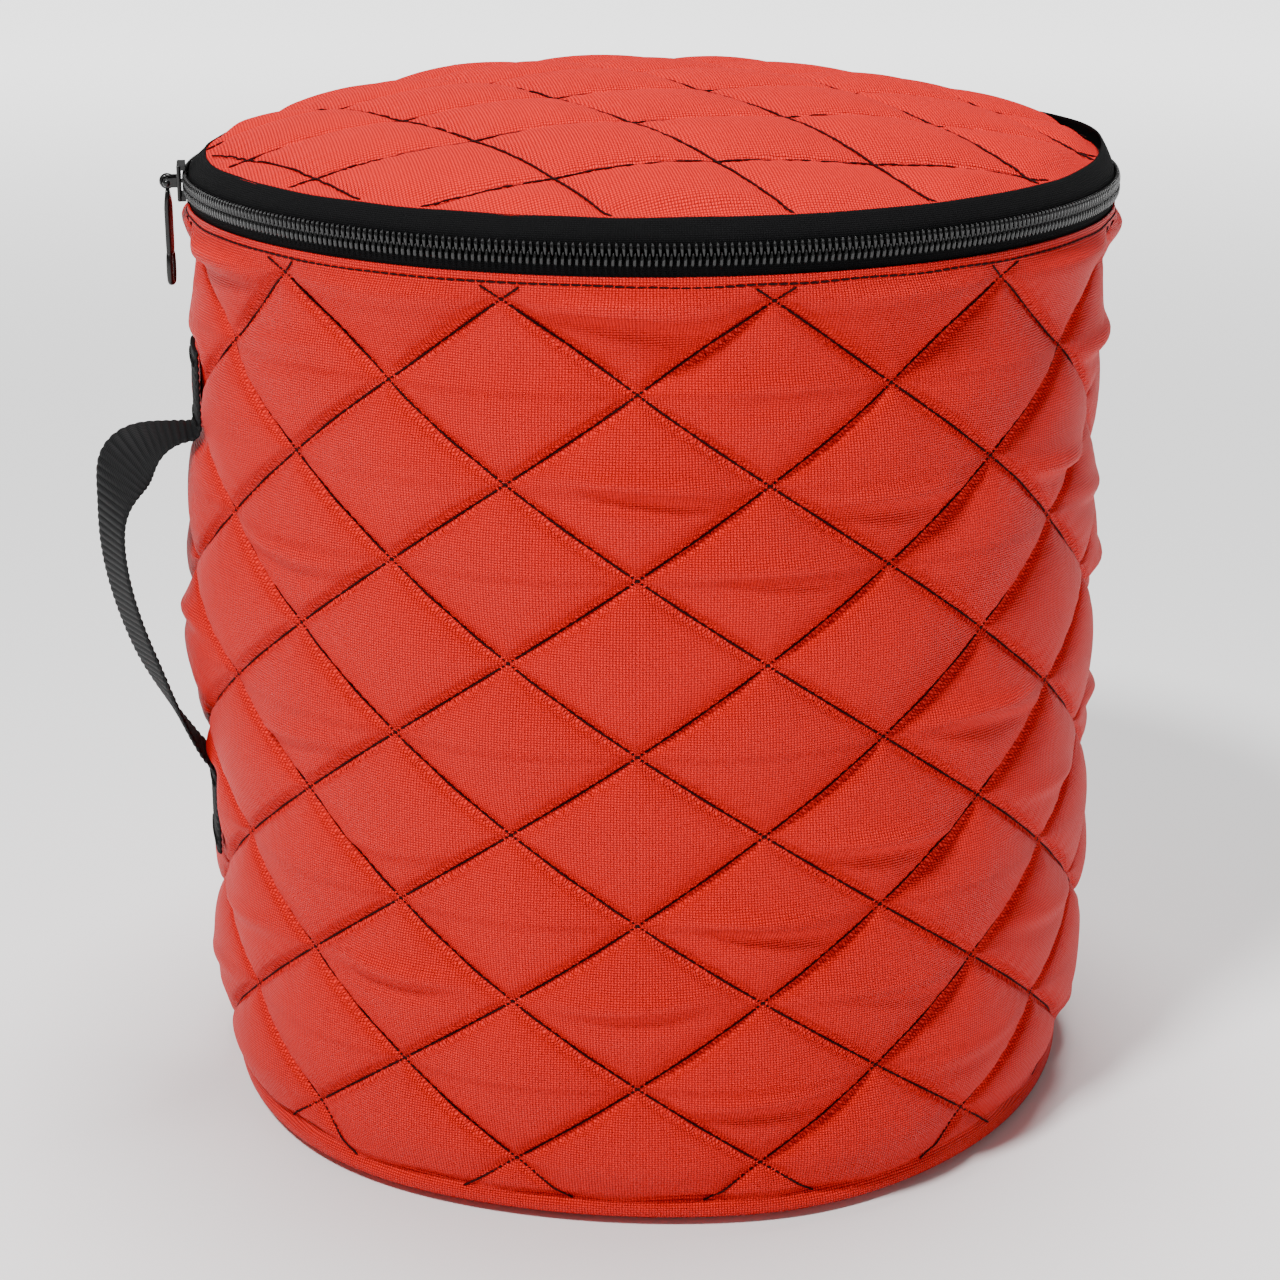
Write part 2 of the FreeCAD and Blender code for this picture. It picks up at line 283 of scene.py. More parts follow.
def grid_normals(points: np.ndarray, wrap_rows: bool, wrap_columns: bool) -> np.ndarray:
    """Unit normals of a grid of points, from central differences along its rows and columns.

    Args:
        points: Grid of points, of shape (rows, columns, 3).
        wrap_rows: Whether the last row joins the first.
        wrap_columns: Whether the last column joins the first.

    Returns:
        Array of the same shape.
    """
    def slope(axis: int, wrap: bool) -> np.ndarray:
        """Difference of the two neighbours along one axis.

        Args:
            axis: The axis.
            wrap: Whether it closes on itself.

        Returns:
            Array of the same shape as the grid.
        """
        if wrap:
            return np.roll(points, -1, axis) - np.roll(points, 1, axis)
        return np.gradient(points, axis=axis)
    return unit(np.cross(slope(0, wrap_rows), slope(1, wrap_columns)))


# ------------------------------------------------------------------------------------------------
# Shader groups
# ------------------------------------------------------------------------------------------------
class Graph:
    """Short way to place and join shader nodes in one tree."""

    def __init__(self, tree: bpy.types.NodeTree) -> None:
        """Keep the tree that nodes are placed in."""
        self.tree = tree

    def node(self, kind: str, **settings: object) -> bpy.types.Node:
        """Place a node and set its properties.

        Args:
            kind: Blender's name of the node type.
            **settings: Properties of the node.

        Returns:
            The new node.
        """
        made = self.tree.nodes.new(kind)
        for key, value in settings.items():
            setattr(made, key, value)
        return made

    def feed(self, socket: bpy.types.NodeSocket, value: object) -> None:
        """Join a socket to another, or set its value.

        Args:
            socket: The input socket.
            value: An output socket or a value.
        """
        if isinstance(value, bpy.types.NodeSocket):
            self.tree.links.new(value, socket)
        else:
            socket.default_value = value

    def math(self, operation: str, *values: object) -> bpy.types.NodeSocket:
        """Math node on one to three values.

        Args:
            operation: Name of the operation.
            *values: Sockets or numbers.

        Returns:
            Its output socket.
        """
        made = self.node("ShaderNodeMath", operation=operation)
        for socket, value in zip(made.inputs, values):
            self.feed(socket, value)
        return made.outputs[0]

    def mix(self, factor: object, a: object, b: object) -> bpy.types.NodeSocket:
        """Colour mix of two colours.

        Args:
            factor: Share of the second colour.
            a: First colour.
            b: Second colour.

        Returns:
            The output socket.
        """
        made = self.node("ShaderNodeMix", data_type="RGBA")
        self.feed(made.inputs[0], factor)
        self.feed(made.inputs[6], a)
        self.feed(made.inputs[7], b)
        return made.outputs[2]

    def noise(self, vector: object, scale: float, detail: float = 2.0) -> bpy.types.NodeSocket:
        """Noise value at a vector.

        Args:
            vector: Socket of the place.
            scale: Waves per unit of the vector.
            detail: Number of finer layers.

        Returns:
            The output socket.
        """
        made = self.node("ShaderNodeTexNoise")
        self.feed(made.inputs["Vector"], vector)
        made.inputs["Scale"].default_value = scale
        made.inputs["Detail"].default_value = detail
        return made.outputs["Fac"]


def shader_group(name: str, inputs: dict[str, tuple[str, object]], outputs: dict[str, str]) -> tuple[
        bpy.types.NodeTree, Graph, bpy.types.Node, bpy.types.Node]:
    """Empty shader node group with named sockets.

    Args:
        name: Name of the group.
        inputs: Socket type and first value of each input.
        outputs: Socket type of each output.

    Returns:
        The tree, a Graph on it, and its input and output nodes.
    """
    tree = bpy.data.node_groups.new(name, "ShaderNodeTree")
    for key, (kind, value) in inputs.items():
        socket = tree.interface.new_socket(name=key, in_out="INPUT", socket_type=kind)
        if value is not None:
            socket.default_value = value
    for key, kind in outputs.items():
        tree.interface.new_socket(name=key, in_out="OUTPUT", socket_type=kind)
    graph = Graph(tree)
    return tree, graph, graph.node("NodeGroupInput"), graph.node("NodeGroupOutput")


FLOAT, VECTOR, COLOUR = "NodeSocketFloat", "NodeSocketVector", "NodeSocketColor"


def make_weave_group() -> bpy.types.NodeTree:
    """Plain weave: each thread is a half sine ridge, and warp and weft lie on top in turn, as on a chessboard.

    Returns:
        The group's node tree.
    """
    tree, g, given, out = shader_group(
        "Plain weave", {"Vector": (VECTOR, None), "Warp pitch": (FLOAT, 0.001), "Weft pitch": (FLOAT, 0.001)},
        {"Height": FLOAT, "Shade": FLOAT})
    split = g.node("ShaderNodeSeparateXYZ")
    g.feed(split.inputs[0], given.outputs["Vector"])
    warp = g.math("DIVIDE", split.outputs[0], given.outputs["Warp pitch"])
    weft = g.math("DIVIDE", split.outputs[1], given.outputs["Weft pitch"])
    ridge_a = g.math("SINE", g.math("MULTIPLY", g.math("FRACT", warp), math.pi))
    ridge_b = g.math("SINE", g.math("MULTIPLY", g.math("FRACT", weft), math.pi))
    parity = g.math("PINGPONG", g.math("ADD", g.math("FLOOR", warp), g.math("FLOOR", weft)), 1.0)
    up_a = g.math("MULTIPLY", ridge_a, g.math("MULTIPLY_ADD", ridge_b, 0.55, 0.45))
    up_b = g.math("MULTIPLY", ridge_b, g.math("MULTIPLY_ADD", ridge_a, 0.55, 0.45))
    height = g.math("ADD", g.math("MULTIPLY", up_a, parity),
                    g.math("MULTIPLY", up_b, g.math("SUBTRACT", 1.0, parity)))
    g.feed(out.inputs["Height"], height)
    # Shade is painted shade: it is low where the threads dip, and darkens the gaps between threads.
    g.feed(out.inputs["Shade"], g.math("POWER", height, 1.1))
    return tree


def make_rib_group() -> bpy.types.NodeTree:
    """Ribs along one coordinate, each a half sine ridge, broken by finer cross threads.

    Returns:
        The group's node tree.
    """
    tree, g, given, out = shader_group(
        "Ribs", {"Vector": (VECTOR, None), "Rib pitch": (FLOAT, 0.002), "Thread pitch": (FLOAT, 0.001)},
        {"Height": FLOAT, "Shade": FLOAT})
    split = g.node("ShaderNodeSeparateXYZ")
    g.feed(split.inputs[0], given.outputs["Vector"])
    rib = g.math("DIVIDE", split.outputs[0], given.outputs["Rib pitch"])
    across = g.math("DIVIDE", split.outputs[1], given.outputs["Thread pitch"])
    slant = g.math("ADD", across, g.math("MULTIPLY", g.math("PINGPONG", rib, 1.0), 0.5))
    ridge = g.math("SINE", g.math("MULTIPLY", g.math("FRACT", rib), math.pi))
    thread = g.math("SINE", g.math("MULTIPLY", g.math("FRACT", slant), math.pi))
    height = g.math("MULTIPLY_ADD", thread, 0.35, g.math("MULTIPLY", ridge, 0.65))
    g.feed(out.inputs["Height"], height)
    # Shade is painted shade: it is low between the ribs and where the cross threads dip, and darkens those gaps.
    g.feed(out.inputs["Shade"], g.math("POWER", height, 0.6))
    return tree


def make_wear_group() -> bpy.types.NodeTree:
    """Uneven dye and dust: two scales of noise, as a mask of about 0 to 1.

    Returns:
        The group's node tree.
    """
    tree, g, given, out = shader_group(
        "Uneven dye", {"Vector": (VECTOR, None), "Patch size": (FLOAT, 0.03)}, {"Mask": FLOAT})
    scaled = g.node("ShaderNodeVectorMath", operation="SCALE")
    g.feed(scaled.inputs[0], given.outputs["Vector"])
    g.feed(scaled.inputs["Scale"], g.math("DIVIDE", 1.0, given.outputs["Patch size"]))
    coarse = g.noise(scaled.outputs[0], 1.0, 3.0)
    fine = g.noise(scaled.outputs[0], 14.0, 2.0)
    g.feed(out.inputs["Mask"], g.math("MULTIPLY_ADD", coarse, 0.7, g.math("MULTIPLY", fine, 0.3)))
    return tree


class Pattern(Enum):
    """Surface structure of a cloth."""
    PLAIN_WEAVE = "plain weave"
    RIBBED = "ribbed"


@dataclass(frozen=True)
class Cloth:
    """Finish of a woven piece: its colour, the shade colour painted into the gaps between threads, thread pitches
    and how deep the weave is.
    """
    name: str
    colour: tuple[float, float, float]
    shade: tuple[float, float, float]
    pattern: Pattern
    pitch_u: float
    pitch_v: float
    depth: float
    roughness: float = 0.75
    sheen: float = 0.0
    uneven: float = 0.12
    specular: float = 0.16

    def make(self, groups: dict[str, bpy.types.NodeTree]) -> bpy.types.Material:
        """Build the material.

        Args:
            groups: The shared shader groups by name.

        Returns:
            The material.
        """
        material = bpy.data.materials.new(self.name)
        material.use_nodes = True
        g = Graph(material.node_tree)
        shader = material.node_tree.nodes["Principled BSDF"]
        coordinates = g.node("ShaderNodeUVMap", uv_map="Cloth")
        place = g.node("ShaderNodeTexCoord")
        weave = g.node("ShaderNodeGroup")
        ribbed = self.pattern is Pattern.RIBBED
        weave.node_tree = groups["ribs" if ribbed else "weave"]
        g.feed(weave.inputs["Vector"], coordinates.outputs[0])
        weave.inputs[1].default_value = self.pitch_u
        weave.inputs[2].default_value = self.pitch_v
        dye = g.node("ShaderNodeGroup")
        dye.node_tree = groups["dye"]
        g.feed(dye.inputs["Vector"], place.outputs["Object"])
        dye.inputs["Patch size"].default_value = 0.03
        # Painted shade: the gaps between threads take the shade colour, the thread tops the cloth's colour.
        woven = g.mix(weave.outputs["Shade"], (*self.shade, 1.0), (*self.colour, 1.0))
        darker = tuple(c * (1.0 - self.uneven) for c in self.colour)
        g.feed(shader.inputs["Base Color"], g.mix(g.math("MULTIPLY", dye.outputs["Mask"], self.uneven * 4.0),
                                                  woven, (*darker, 1.0)))
        bump = g.node("ShaderNodeBump")
        bump.inputs["Strength"].default_value = 1.0
        bump.inputs["Distance"].default_value = self.depth
        g.feed(bump.inputs["Height"], weave.outputs["Height"])
        g.feed(shader.inputs["Normal"], bump.outputs[0])
        rough = g.math("MULTIPLY_ADD", dye.outputs["Mask"], 0.12, self.roughness - 0.06)
        g.feed(shader.inputs["Roughness"], rough)
        shader.inputs["Sheen Weight"].default_value = self.sheen
        shader.inputs["Sheen Roughness"].default_value = 0.5
        shader.inputs["Specular IOR Level"].default_value = self.specular
        return material


@dataclass(frozen=True)
class Moulded:
    """Finish of a moulded or enamelled piece: colour, gloss and faint surface unevenness."""
    name: str
    colour: tuple[float, float, float]
    roughness: float
    metallic: float = 0.0
    coat: float = 0.0
    grain: float = 0.00002
    specular: float = 0.3

    def make(self, groups: dict[str, bpy.types.NodeTree]) -> bpy.types.Material:
        """Build the material.

        Args:
            groups: The shared shader groups by name.

        Returns:
            The material.
        """
        material = bpy.data.materials.new(self.name)
        material.use_nodes = True
        g = Graph(material.node_tree)
        shader = material.node_tree.nodes["Principled BSDF"]
        place = g.node("ShaderNodeTexCoord")
        wear = g.node("ShaderNodeGroup")
        wear.node_tree = groups["dye"]
        g.feed(wear.inputs["Vector"], place.outputs["Object"])
        wear.inputs["Patch size"].default_value = 0.006
        lighter = tuple(min(1.0, c * 1.8 + 0.004) for c in self.colour)
        g.feed(shader.inputs["Base Color"], g.mix(wear.outputs["Mask"], (*self.colour, 1.0), (*lighter, 1.0)))
        rough = g.math("MULTIPLY_ADD", wear.outputs["Mask"], 0.16, self.roughness - 0.08)
        g.feed(shader.inputs["Roughness"], rough)
        bump = g.node("ShaderNodeBump")
        bump.inputs["Strength"].default_value = 0.6
        bump.inputs["Distance"].default_value = self.grain
        g.feed(bump.inputs["Height"], wear.outputs["Mask"])
        g.feed(shader.inputs["Normal"], bump.outputs[0])
        shader.inputs["Metallic"].default_value = self.metallic
        shader.inputs["Specular IOR Level"].default_value = self.specular
        shader.inputs["Coat Weight"].default_value = self.coat
        shader.inputs["Coat Roughness"].default_value = 0.12
        return material


@dataclass
class Finishes:
    """Every finish of the bag, made once."""
    made: dict[str, bpy.types.Material] = field(default_factory=dict)

    def build(self) -> "Finishes":
        """Make the shader groups and all materials.

        Returns:
            This object.
        """
        groups = {"weave": make_weave_group(), "ribs": make_rib_group(), "dye": make_wear_group()}
        # The second colour of each pair is painted shade for the gaps between threads.
        red, red_gap_shade = (0.98, 0.010, 0.007), (0.22, 0.001, 0.001)
        black, black_gap_shade = (0.0035, 0.0035, 0.004), (0.001, 0.001, 0.001)
        plain, ribbed = Pattern.PLAIN_WEAVE, Pattern.RIBBED
        for finish in (
                Cloth("wall_cloth", red, red_gap_shade, plain, 0.87 * MM, 0.74 * MM, 0.42 * MM, 0.5, specular=0.15),
                Cloth("lid_cloth", red, red_gap_shade, plain, 0.87 * MM, 0.87 * MM, 0.42 * MM, 0.5, specular=0.15),
                Cloth("lining_cloth", (0.02, 0.02, 0.022), black_gap_shade, plain, 0.6 * MM, 0.6 * MM, 0.1 * MM),
                Cloth("zip_tape", black, black_gap_shade, plain, 0.7 * MM, 0.6 * MM, 0.16 * MM, 0.9, specular=0.1),
                Cloth("binding", black, black_gap_shade, ribbed, 1.1 * MM, 0.5 * MM, 0.16 * MM, 0.9, specular=0.1),
                Cloth("webbing", black, black_gap_shade, ribbed, 2.3 * MM, 0.9 * MM, 0.25 * MM, 0.7, specular=0.2),
                Moulded("quilt_thread", (0.014, 0.0008, 0.001), 0.8, specular=0.08),
                Moulded("black_thread", (0.004, 0.004, 0.004), 0.8, specular=0.08),
                Moulded("coil_nylon", (0.003, 0.003, 0.003), 0.2, specular=0.5),
                Moulded("zip_enamel", (0.002, 0.002, 0.002), 0.25, specular=0.4)):
            self.made[finish.name] = finish.make(groups)
        return self

    def __getitem__(self, name: str) -> bpy.types.Material:
        """Material by name."""
        return self.made[name]


def place(piece: bpy.types.Object, body: str, slot: str, *nodes: str) -> bpy.types.Object:
    """Let a piece ride on a body, in place of CAD nodes.

    Args:
        piece: The piece.
        body: Name of the CAD body that it moves with.
        slot: Not used.
        *nodes: CAD nodes that the piece stands for.

    Returns:
        The piece.
    """
    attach(piece, body)
    if nodes:
        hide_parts(*nodes)
    log.info("%s: %d faces", piece.name, len(piece.data.polygons))
    return piece


# ------------------------------------------------------------------------------------------------
# Padding by cloth simulation
# ------------------------------------------------------------------------------------------------
@dataclass(frozen=True)
class Inflation:
    """Cloth simulation that blows quilted cloth up between its held seams."""
    pressure: float = 4.0
    frames: int = 18
    cap: float = 6 * MM
    bending: float = 6.0
    stiffness: float = 12.0

    def run(self, points: np.ndarray, quads: np.ndarray, held: np.ndarray, slack: np.ndarray) -> np.ndarray:
        """Simulate and return the moved points.

        Args:
            points: Array of shape (n, 3).
            quads: Faces, of shape (m, 4).
            held: 1 for each point that is sewn down, otherwise 0.
            slack: Points whose distances are the cloth's own, longer than between the sewn lines.

        Returns:
            Array of shape (n, 3), no point further from its start than the cap.
        """
        plain = bpy.data.materials.new("trial")
        piece = new_piece("trial", points, quads, plain)
        group = piece.vertex_groups.new(name="held")
        group.add(np.flatnonzero(held > 0.5).tolist(), 1.0, "REPLACE")
        piece.shape_key_add(name="start")
        rest = piece.shape_key_add(name="slack")
        rest.data.foreach_set("co", np.ascontiguousarray(slack, np.float32).ravel())
        cloth = piece.modifiers.new("cloth", "CLOTH")
        cloth.settings.quality = 5
        cloth.settings.mass = 0.15
        cloth.settings.tension_stiffness = self.stiffness
        cloth.settings.compression_stiffness = self.stiffness
        cloth.settings.shear_stiffness = self.stiffness / 2
        cloth.settings.bending_stiffness = self.bending
        cloth.settings.air_damping = 3.0
        cloth.settings.vertex_group_mass = "held"
        cloth.settings.rest_shape_key = rest
        cloth.settings.use_pressure = True
        cloth.settings.uniform_pressure_force = self.pressure
        cloth.settings.effector_weights.gravity = 0.0
        cloth.collision_settings.use_collision = False
        cloth.point_cache.frame_start, cloth.point_cache.frame_end = 1, self.frames
        scene = bpy.context.scene
        for step in range(1, self.frames + 1):
            scene.frame_set(step)
        evaluated = piece.evaluated_get(bpy.context.evaluated_depsgraph_get()).to_mesh()
        moved = np.empty(3 * len(points), np.float32)
        evaluated.vertices.foreach_get("co", moved)
        shift = moved.reshape(-1, 3) - points
        far = np.linalg.norm(shift, axis=1, keepdims=True)
        scene.frame_set(1)
        bpy.data.objects.remove(piece, do_unlink=True)
        bpy.data.materials.remove(plain)
        return points + shift * np.minimum(1.0, self.cap / np.maximum(far, 1e-9))


# ------------------------------------------------------------------------------------------------
# Wall
# ------------------------------------------------------------------------------------------------
@dataclass(frozen=True)
class Folds:
    """Soft folds pulled across the wall's diamonds, one to each diamond that has one.

    A fold runs level through its diamond, bowed as a parabola. Across it the cloth rises as the bell
    exp(-(d / width)^2), with a shallower furrow of the same shape just below, and both fade to the ends.
    """
    seed: int = 24
    share: float = 0.46
    half_length: float = 0.92
    rise: float = 2.5 * MM
    width: float = 3.2 * MM
    bow: float = 3.0 * MM
    tilt: float = 4.5 * MM
    off_centre: float = 0.30

    def height(self, column: np.ndarray, row: np.ndarray, row_height: float, columns: int) -> np.ndarray:
        """How far the folds lift the cloth.

        Args:
            column: Lattice columns counted round the wall.
            row: Lattice rows counted down it; a diamond's middle has an odd column + row.
            row_height: Height of one row.
            columns: Columns in the whole turn.

        Returns:
            Lift in metres, below zero in the furrows.
        """
        draw = np.random.default_rng(self.seed)
        rows = int(np.ceil(row.max())) + 1
        chosen = draw.random((columns, rows)) < self.share
        size, bow, tilt, place = (draw.uniform(-1.0, 1.0, (columns, rows)) for _ in range(4))
        lift = np.zeros_like(column)
        # Each place lies in the reach of the nearest diamond middle in its own column or the next.
        for step in (0, 1):
            nearest = np.floor(column).astype(int) + step
            middle = np.round((row - (nearest + 1) % 2) / 2).astype(int) * 2 + (nearest + 1) % 2
            here = nearest % columns, np.clip(middle, 0, rows - 1)
            along = (column - nearest) / self.half_length
            level = (self.off_centre * place[here] * row_height + tilt[here] * self.tilt * along
                     + bow[here] * self.bow * (1.0 - along ** 2))
            across = (middle - row) * row_height - level
            fade = smooth_step(np.abs(along), 1.0, 0.15) * chosen[here]
            furrow = np.exp(-((across + 1.6 * self.width) / self.width) ** 2)
            fold = np.exp(-(across / self.width) ** 2) - 0.7 * furrow
            lift = lift + self.rise * (0.65 + 0.35 * size[here]) * fade * fold
        return lift


@dataclass
class Wall:
    """Quilted wall: outside, turned-under foot, and the lining's inside, as one padded ring.

    The quilting lines are the two families where column + row and column - row are even whole numbers.
    """
    columns: int = 24
    first_column: float = math.radians(-1.7)
    first_row_z: float = 249.6 * MM
    row_height: float = 25.6 * MM
    fine: int = 28
    hem_z: float = 282 * MM
    under_r: float = 131 * MM
    puff: float = 3.6 * MM
    sink: float = 0.5 * MM
    wall_t: float = 7.4 * MM
    side_r: float = 141.7 * MM
    waist: float = 1.1 * MM
    foot_taper: float = 5.0 * MM
    foot_tuck: float = 3.6 * MM
    tails_at: float = math.radians(-79.0)
    tail_levels: tuple[float, float] = (227.0 * MM, 90.0 * MM)
    folds: Folds = Folds()

    def cells(self, angle: np.ndarray, height: np.ndarray) -> tuple[np.ndarray, np.ndarray]:
        """Lattice coordinates: both are whole numbers on the quilting lines.

        Args:
            angle: Compass angles in radians.
            height: Heights.

        Returns:
            Two arrays.
        """
        column = (angle - self.first_column) / (2 * math.pi / self.columns)
        row = (self.first_row_z - height) / self.row_height
        return (column + row) / 2, (column - row) / 2

    def profile(self, height: np.ndarray) -> np.ndarray:
        """Mean radius at a height: straight, waisted as half a sine wave, and drawn in at the foot.

        The foot is a long taper and a short tuck, each falling off as the square of what is left of its height.

        Args:
            height: Heights.

        Returns:
            Radii.
        """
        waist = self.waist * np.sin(math.pi * np.clip(height / self.hem_z, 0.0, 1.0))
        taper = self.foot_taper * np.clip(1.0 - height / (40 * MM), 0.0, 1.0) ** 2
        tuck = self.foot_tuck * np.clip(1.0 - height / (3 * MM), 0.0, 1.0) ** 2
        return self.side_r - waist - taper - tuck

    def build(self, finishes: Finishes) -> None:
        """Make the quilted ring, its stitches and its topstitching.

        Args:
            finishes: The bag's materials.
        """
        coarse = self.fine // 2
        step = self.row_height / coarse
        # The outside's rows run down from the hem; a whole number of them reaches each quilting row.
        top_rows = int(round((self.hem_z - self.first_row_z) / step))
        rows = top_rows + int(round((self.first_row_z - 2.4 * MM) / step))
        z = self.first_row_z + (top_rows - np.arange(rows + 1)) * step
        angle = self.first_column + np.arange(self.columns * coarse) * 2 * math.pi / (self.columns * coarse)
        z_grid, a_grid = np.meshgrid(z, angle)
        radius = self.mean_radius(a_grid, z_grid)
        a, b = self.cells(a_grid, z_grid)
        dome = np.abs(np.sin(math.pi * a) * np.sin(math.pi * b))
        rim = smooth_step(z_grid, 274 * MM, 281 * MM)
        foot = smooth_step(z_grid, 22 * MM, 5 * MM)
        loose = (1 - rim) * (1 - foot)
        sink = self.sink * smooth_step(z_grid, 266 * MM, 252 * MM)
        pressed = self.pressed(a_grid, z_grid)
        radius = radius + loose * (self.puff * dome ** 0.45 - sink)
        radius = radius + pressed * (np.minimum(radius, 140.9 * MM) - radius)
        points = on_drum(a_grid, radius, z_grid)
        seam = np.minimum(np.abs(a - np.round(a)), np.abs(b - np.round(b)))
        held = ((seam < 0.2 / coarse) | (rim > 0.02) | (foot > 0.6) | (pressed > 0.5)).astype(float)
        quads = grid_quads(*points.shape[:2], True, False)
        slack = on_drum(a_grid, radius * 1.008, z_grid * 1.055)
        moved = Inflation().run(points.reshape(-1, 3), quads, held.ravel(), slack.reshape(-1, 3))
        points = moved.reshape(points.shape)
        outside = refined(refined(points, 0, True), 1, False)
        self.outside = self.creased(outside)
        self.dress(finishes)

    def mean_radius(self, angle: np.ndarray, height: np.ndarray) -> np.ndarray:
        """Radius of the slack drum: its profile, the bulge where the handle pulls, hollows and gentle waves.

        Args:
            angle: Compass angles in radians.
            height: Heights.

        Returns:
            Radii.
        """
        turned = np.mod(angle + math.pi, 2 * math.pi) - math.pi

        def swell(at: float, wide: float, level: float, tall: float) -> np.ndarray:
            """Bell of height one, exp(-a^2 - h^2).

            Args:
                at: Compass angle of its middle in degrees.
                wide: Its half width in degrees.
                level: Height of its middle in millimetres.
                tall: Its half height in millimetres.

            Returns:
                The bell at every angle and height.
            """
            away = (turned - math.radians(at)) / math.radians(wide)
            return np.exp(-away ** 2 - ((height - level * MM) / (tall * MM)) ** 2)
        wave = soft_noise(np.sin(angle) * 0.9, np.cos(angle) * 0.9 + height / (110 * MM), 7)
        wave = wave * smooth_step(height, 285 * MM, 250 * MM)
        hollow = 3.2 * swell(-80, 26, 262, 14) + 4.2 * swell(82, 30, 260, 16)
        # All round, the cloth is drawn in a little under the zip, which leaves room for the pull tab.
        hollow = np.maximum(hollow, 3.0 * np.exp(-((height - 259 * MM) / (13 * MM)) ** 2))
        shift = (6.2 * swell(-80, 22, 155, 40) - 3.0 * swell(82, 30, 215, 38) - 1.5 * swell(82, 30, 150, 40)
                 - 1.5 * swell(82, 24, 42, 14) - 4.0 * swell(66, 24, 12, 14) + 3.2 * swell(-42, 20, 2, 12)
                 + 1.5 * swell(20, 14, 2, 8) + 0.6 * wave - hollow * smooth_step(height, 277 * MM, 268 * MM))
        return self.profile(height) + shift * MM

    def pressed(self, angle: np.ndarray, height: np.ndarray) -> np.ndarray:
        """How far the handle's sewn tails press the wall flat.

        Args:
            angle: Compass angles in radians.
            height: Heights.

        Returns:
            1 under the tails, fading to 0 round them.
        """
        turned = np.mod(angle + math.pi, 2 * math.pi) - math.pi
        beside = smooth_step(np.abs(turned - self.tails_at), math.radians(8.5), math.radians(5.2))
        upper, lower = (smooth_step(np.abs(height - level), 20 * MM, 13 * MM) for level in self.tail_levels)
        return beside * np.maximum(upper, lower)

    def creased(self, outside: np.ndarray) -> np.ndarray:
        """Add the valley along each quilting line, the puckers beside it, the folds and the foot's groove.

        Args:
            outside: Grid of the outside's points.

        Returns:
            The grid moved along its normals.
        """
        angle = np.arctan2(outside[..., 0], -outside[..., 1])
        z = outside[..., 2]
        a, b = self.cells(angle, z)
        da, db = np.abs(a - np.round(a)), np.abs(b - np.round(b))
        line = 42 * MM * np.minimum(da, db)
        loose = (1 - smooth_step(z, 274 * MM, 280 * MM)) * (1 - smooth_step(z, 20 * MM, 6 * MM))
        along = np.where(da < db, b, a)
        pucker = np.cos(2 * math.pi * along * 6.0 + 3.0 * soft_noise(angle * 6, z / (30 * MM), 11))
        valley = -0.7 * MM * np.exp(-line / (1.1 * MM)) - 1.4 * MM * np.exp(-line / (4.5 * MM))
        ruffle = 0.22 * MM * pucker * np.exp(-line / (5 * MM)) * smooth_step(line, 0.4 * MM, 3 * MM)
        folds = self.folds.height(a + b, a - b, self.row_height, self.columns)
        folds = loose * folds * (1.0 - 0.75 * np.exp(-line / (4 * MM)))
        turn_x, turn_y = np.sin(angle), np.cos(angle)
        crease_z = (8.0 + 1.1 * soft_noise(2.2 * turn_x, 2.2 * turn_y, 51)) * MM
        groove_depth = 1.9 + 0.7 * soft_noise(3.1 * turn_x, 3.1 * turn_y, 52)
        groove = -groove_depth * MM * np.exp(-((z - crease_z) / (1.6 * MM)) ** 2)
        normal = grid_normals(outside, True, False)
        outward = normal * np.sign(np.sum(normal * outside * [1, 1, 0], -1, keepdims=True))
        return outside + outward * (loose * (valley + ruffle) + folds + groove)[..., None]

    def surface_at(self, angle: np.ndarray, height: np.ndarray) -> np.ndarray:
        """Radius of the finished outside on a quilting line, read along the lower diagonal of the grid's face.

        Args:
            angle: Compass angles in radians.
            height: Heights.

        Returns:
            Radii.
        """
        n, m = self.outside.shape[:2]
        u = ((angle - self.first_column) / (2 * math.pi) * n) % n
        v = (self.outside[0, 0, 2] - height) / (self.outside[0, 0, 2] - self.outside[0, -1, 2]) * (m - 1)
        v = np.clip(v, 0, m - 1.001)
        i, j = np.floor(u).astype(int), np.floor(v).astype(int)
        fu, fv = u - i, v - j
        radius = np.hypot(self.outside[..., 0], self.outside[..., 1])
        i, i2 = i % n, (i + 1) % n
        lean = (fu + fv) / 2
        along = radius[i, j] * (1 - lean) + radius[i2, j + 1] * lean
        lean = (fu + 1 - fv) / 2
        against = radius[i, j + 1] * (1 - lean) + radius[i2, j] * lean
        return np.minimum(along, against)

    def dress(self, finishes: Finishes) -> None:
        """Close the ring with foot and lining, and place it with its threads.

        Args:
            finishes: The bag's materials.
        """
        outside = self.outside
        n = outside.shape[0]
        angle = self.first_column + np.arange(n) * 2 * math.pi / n
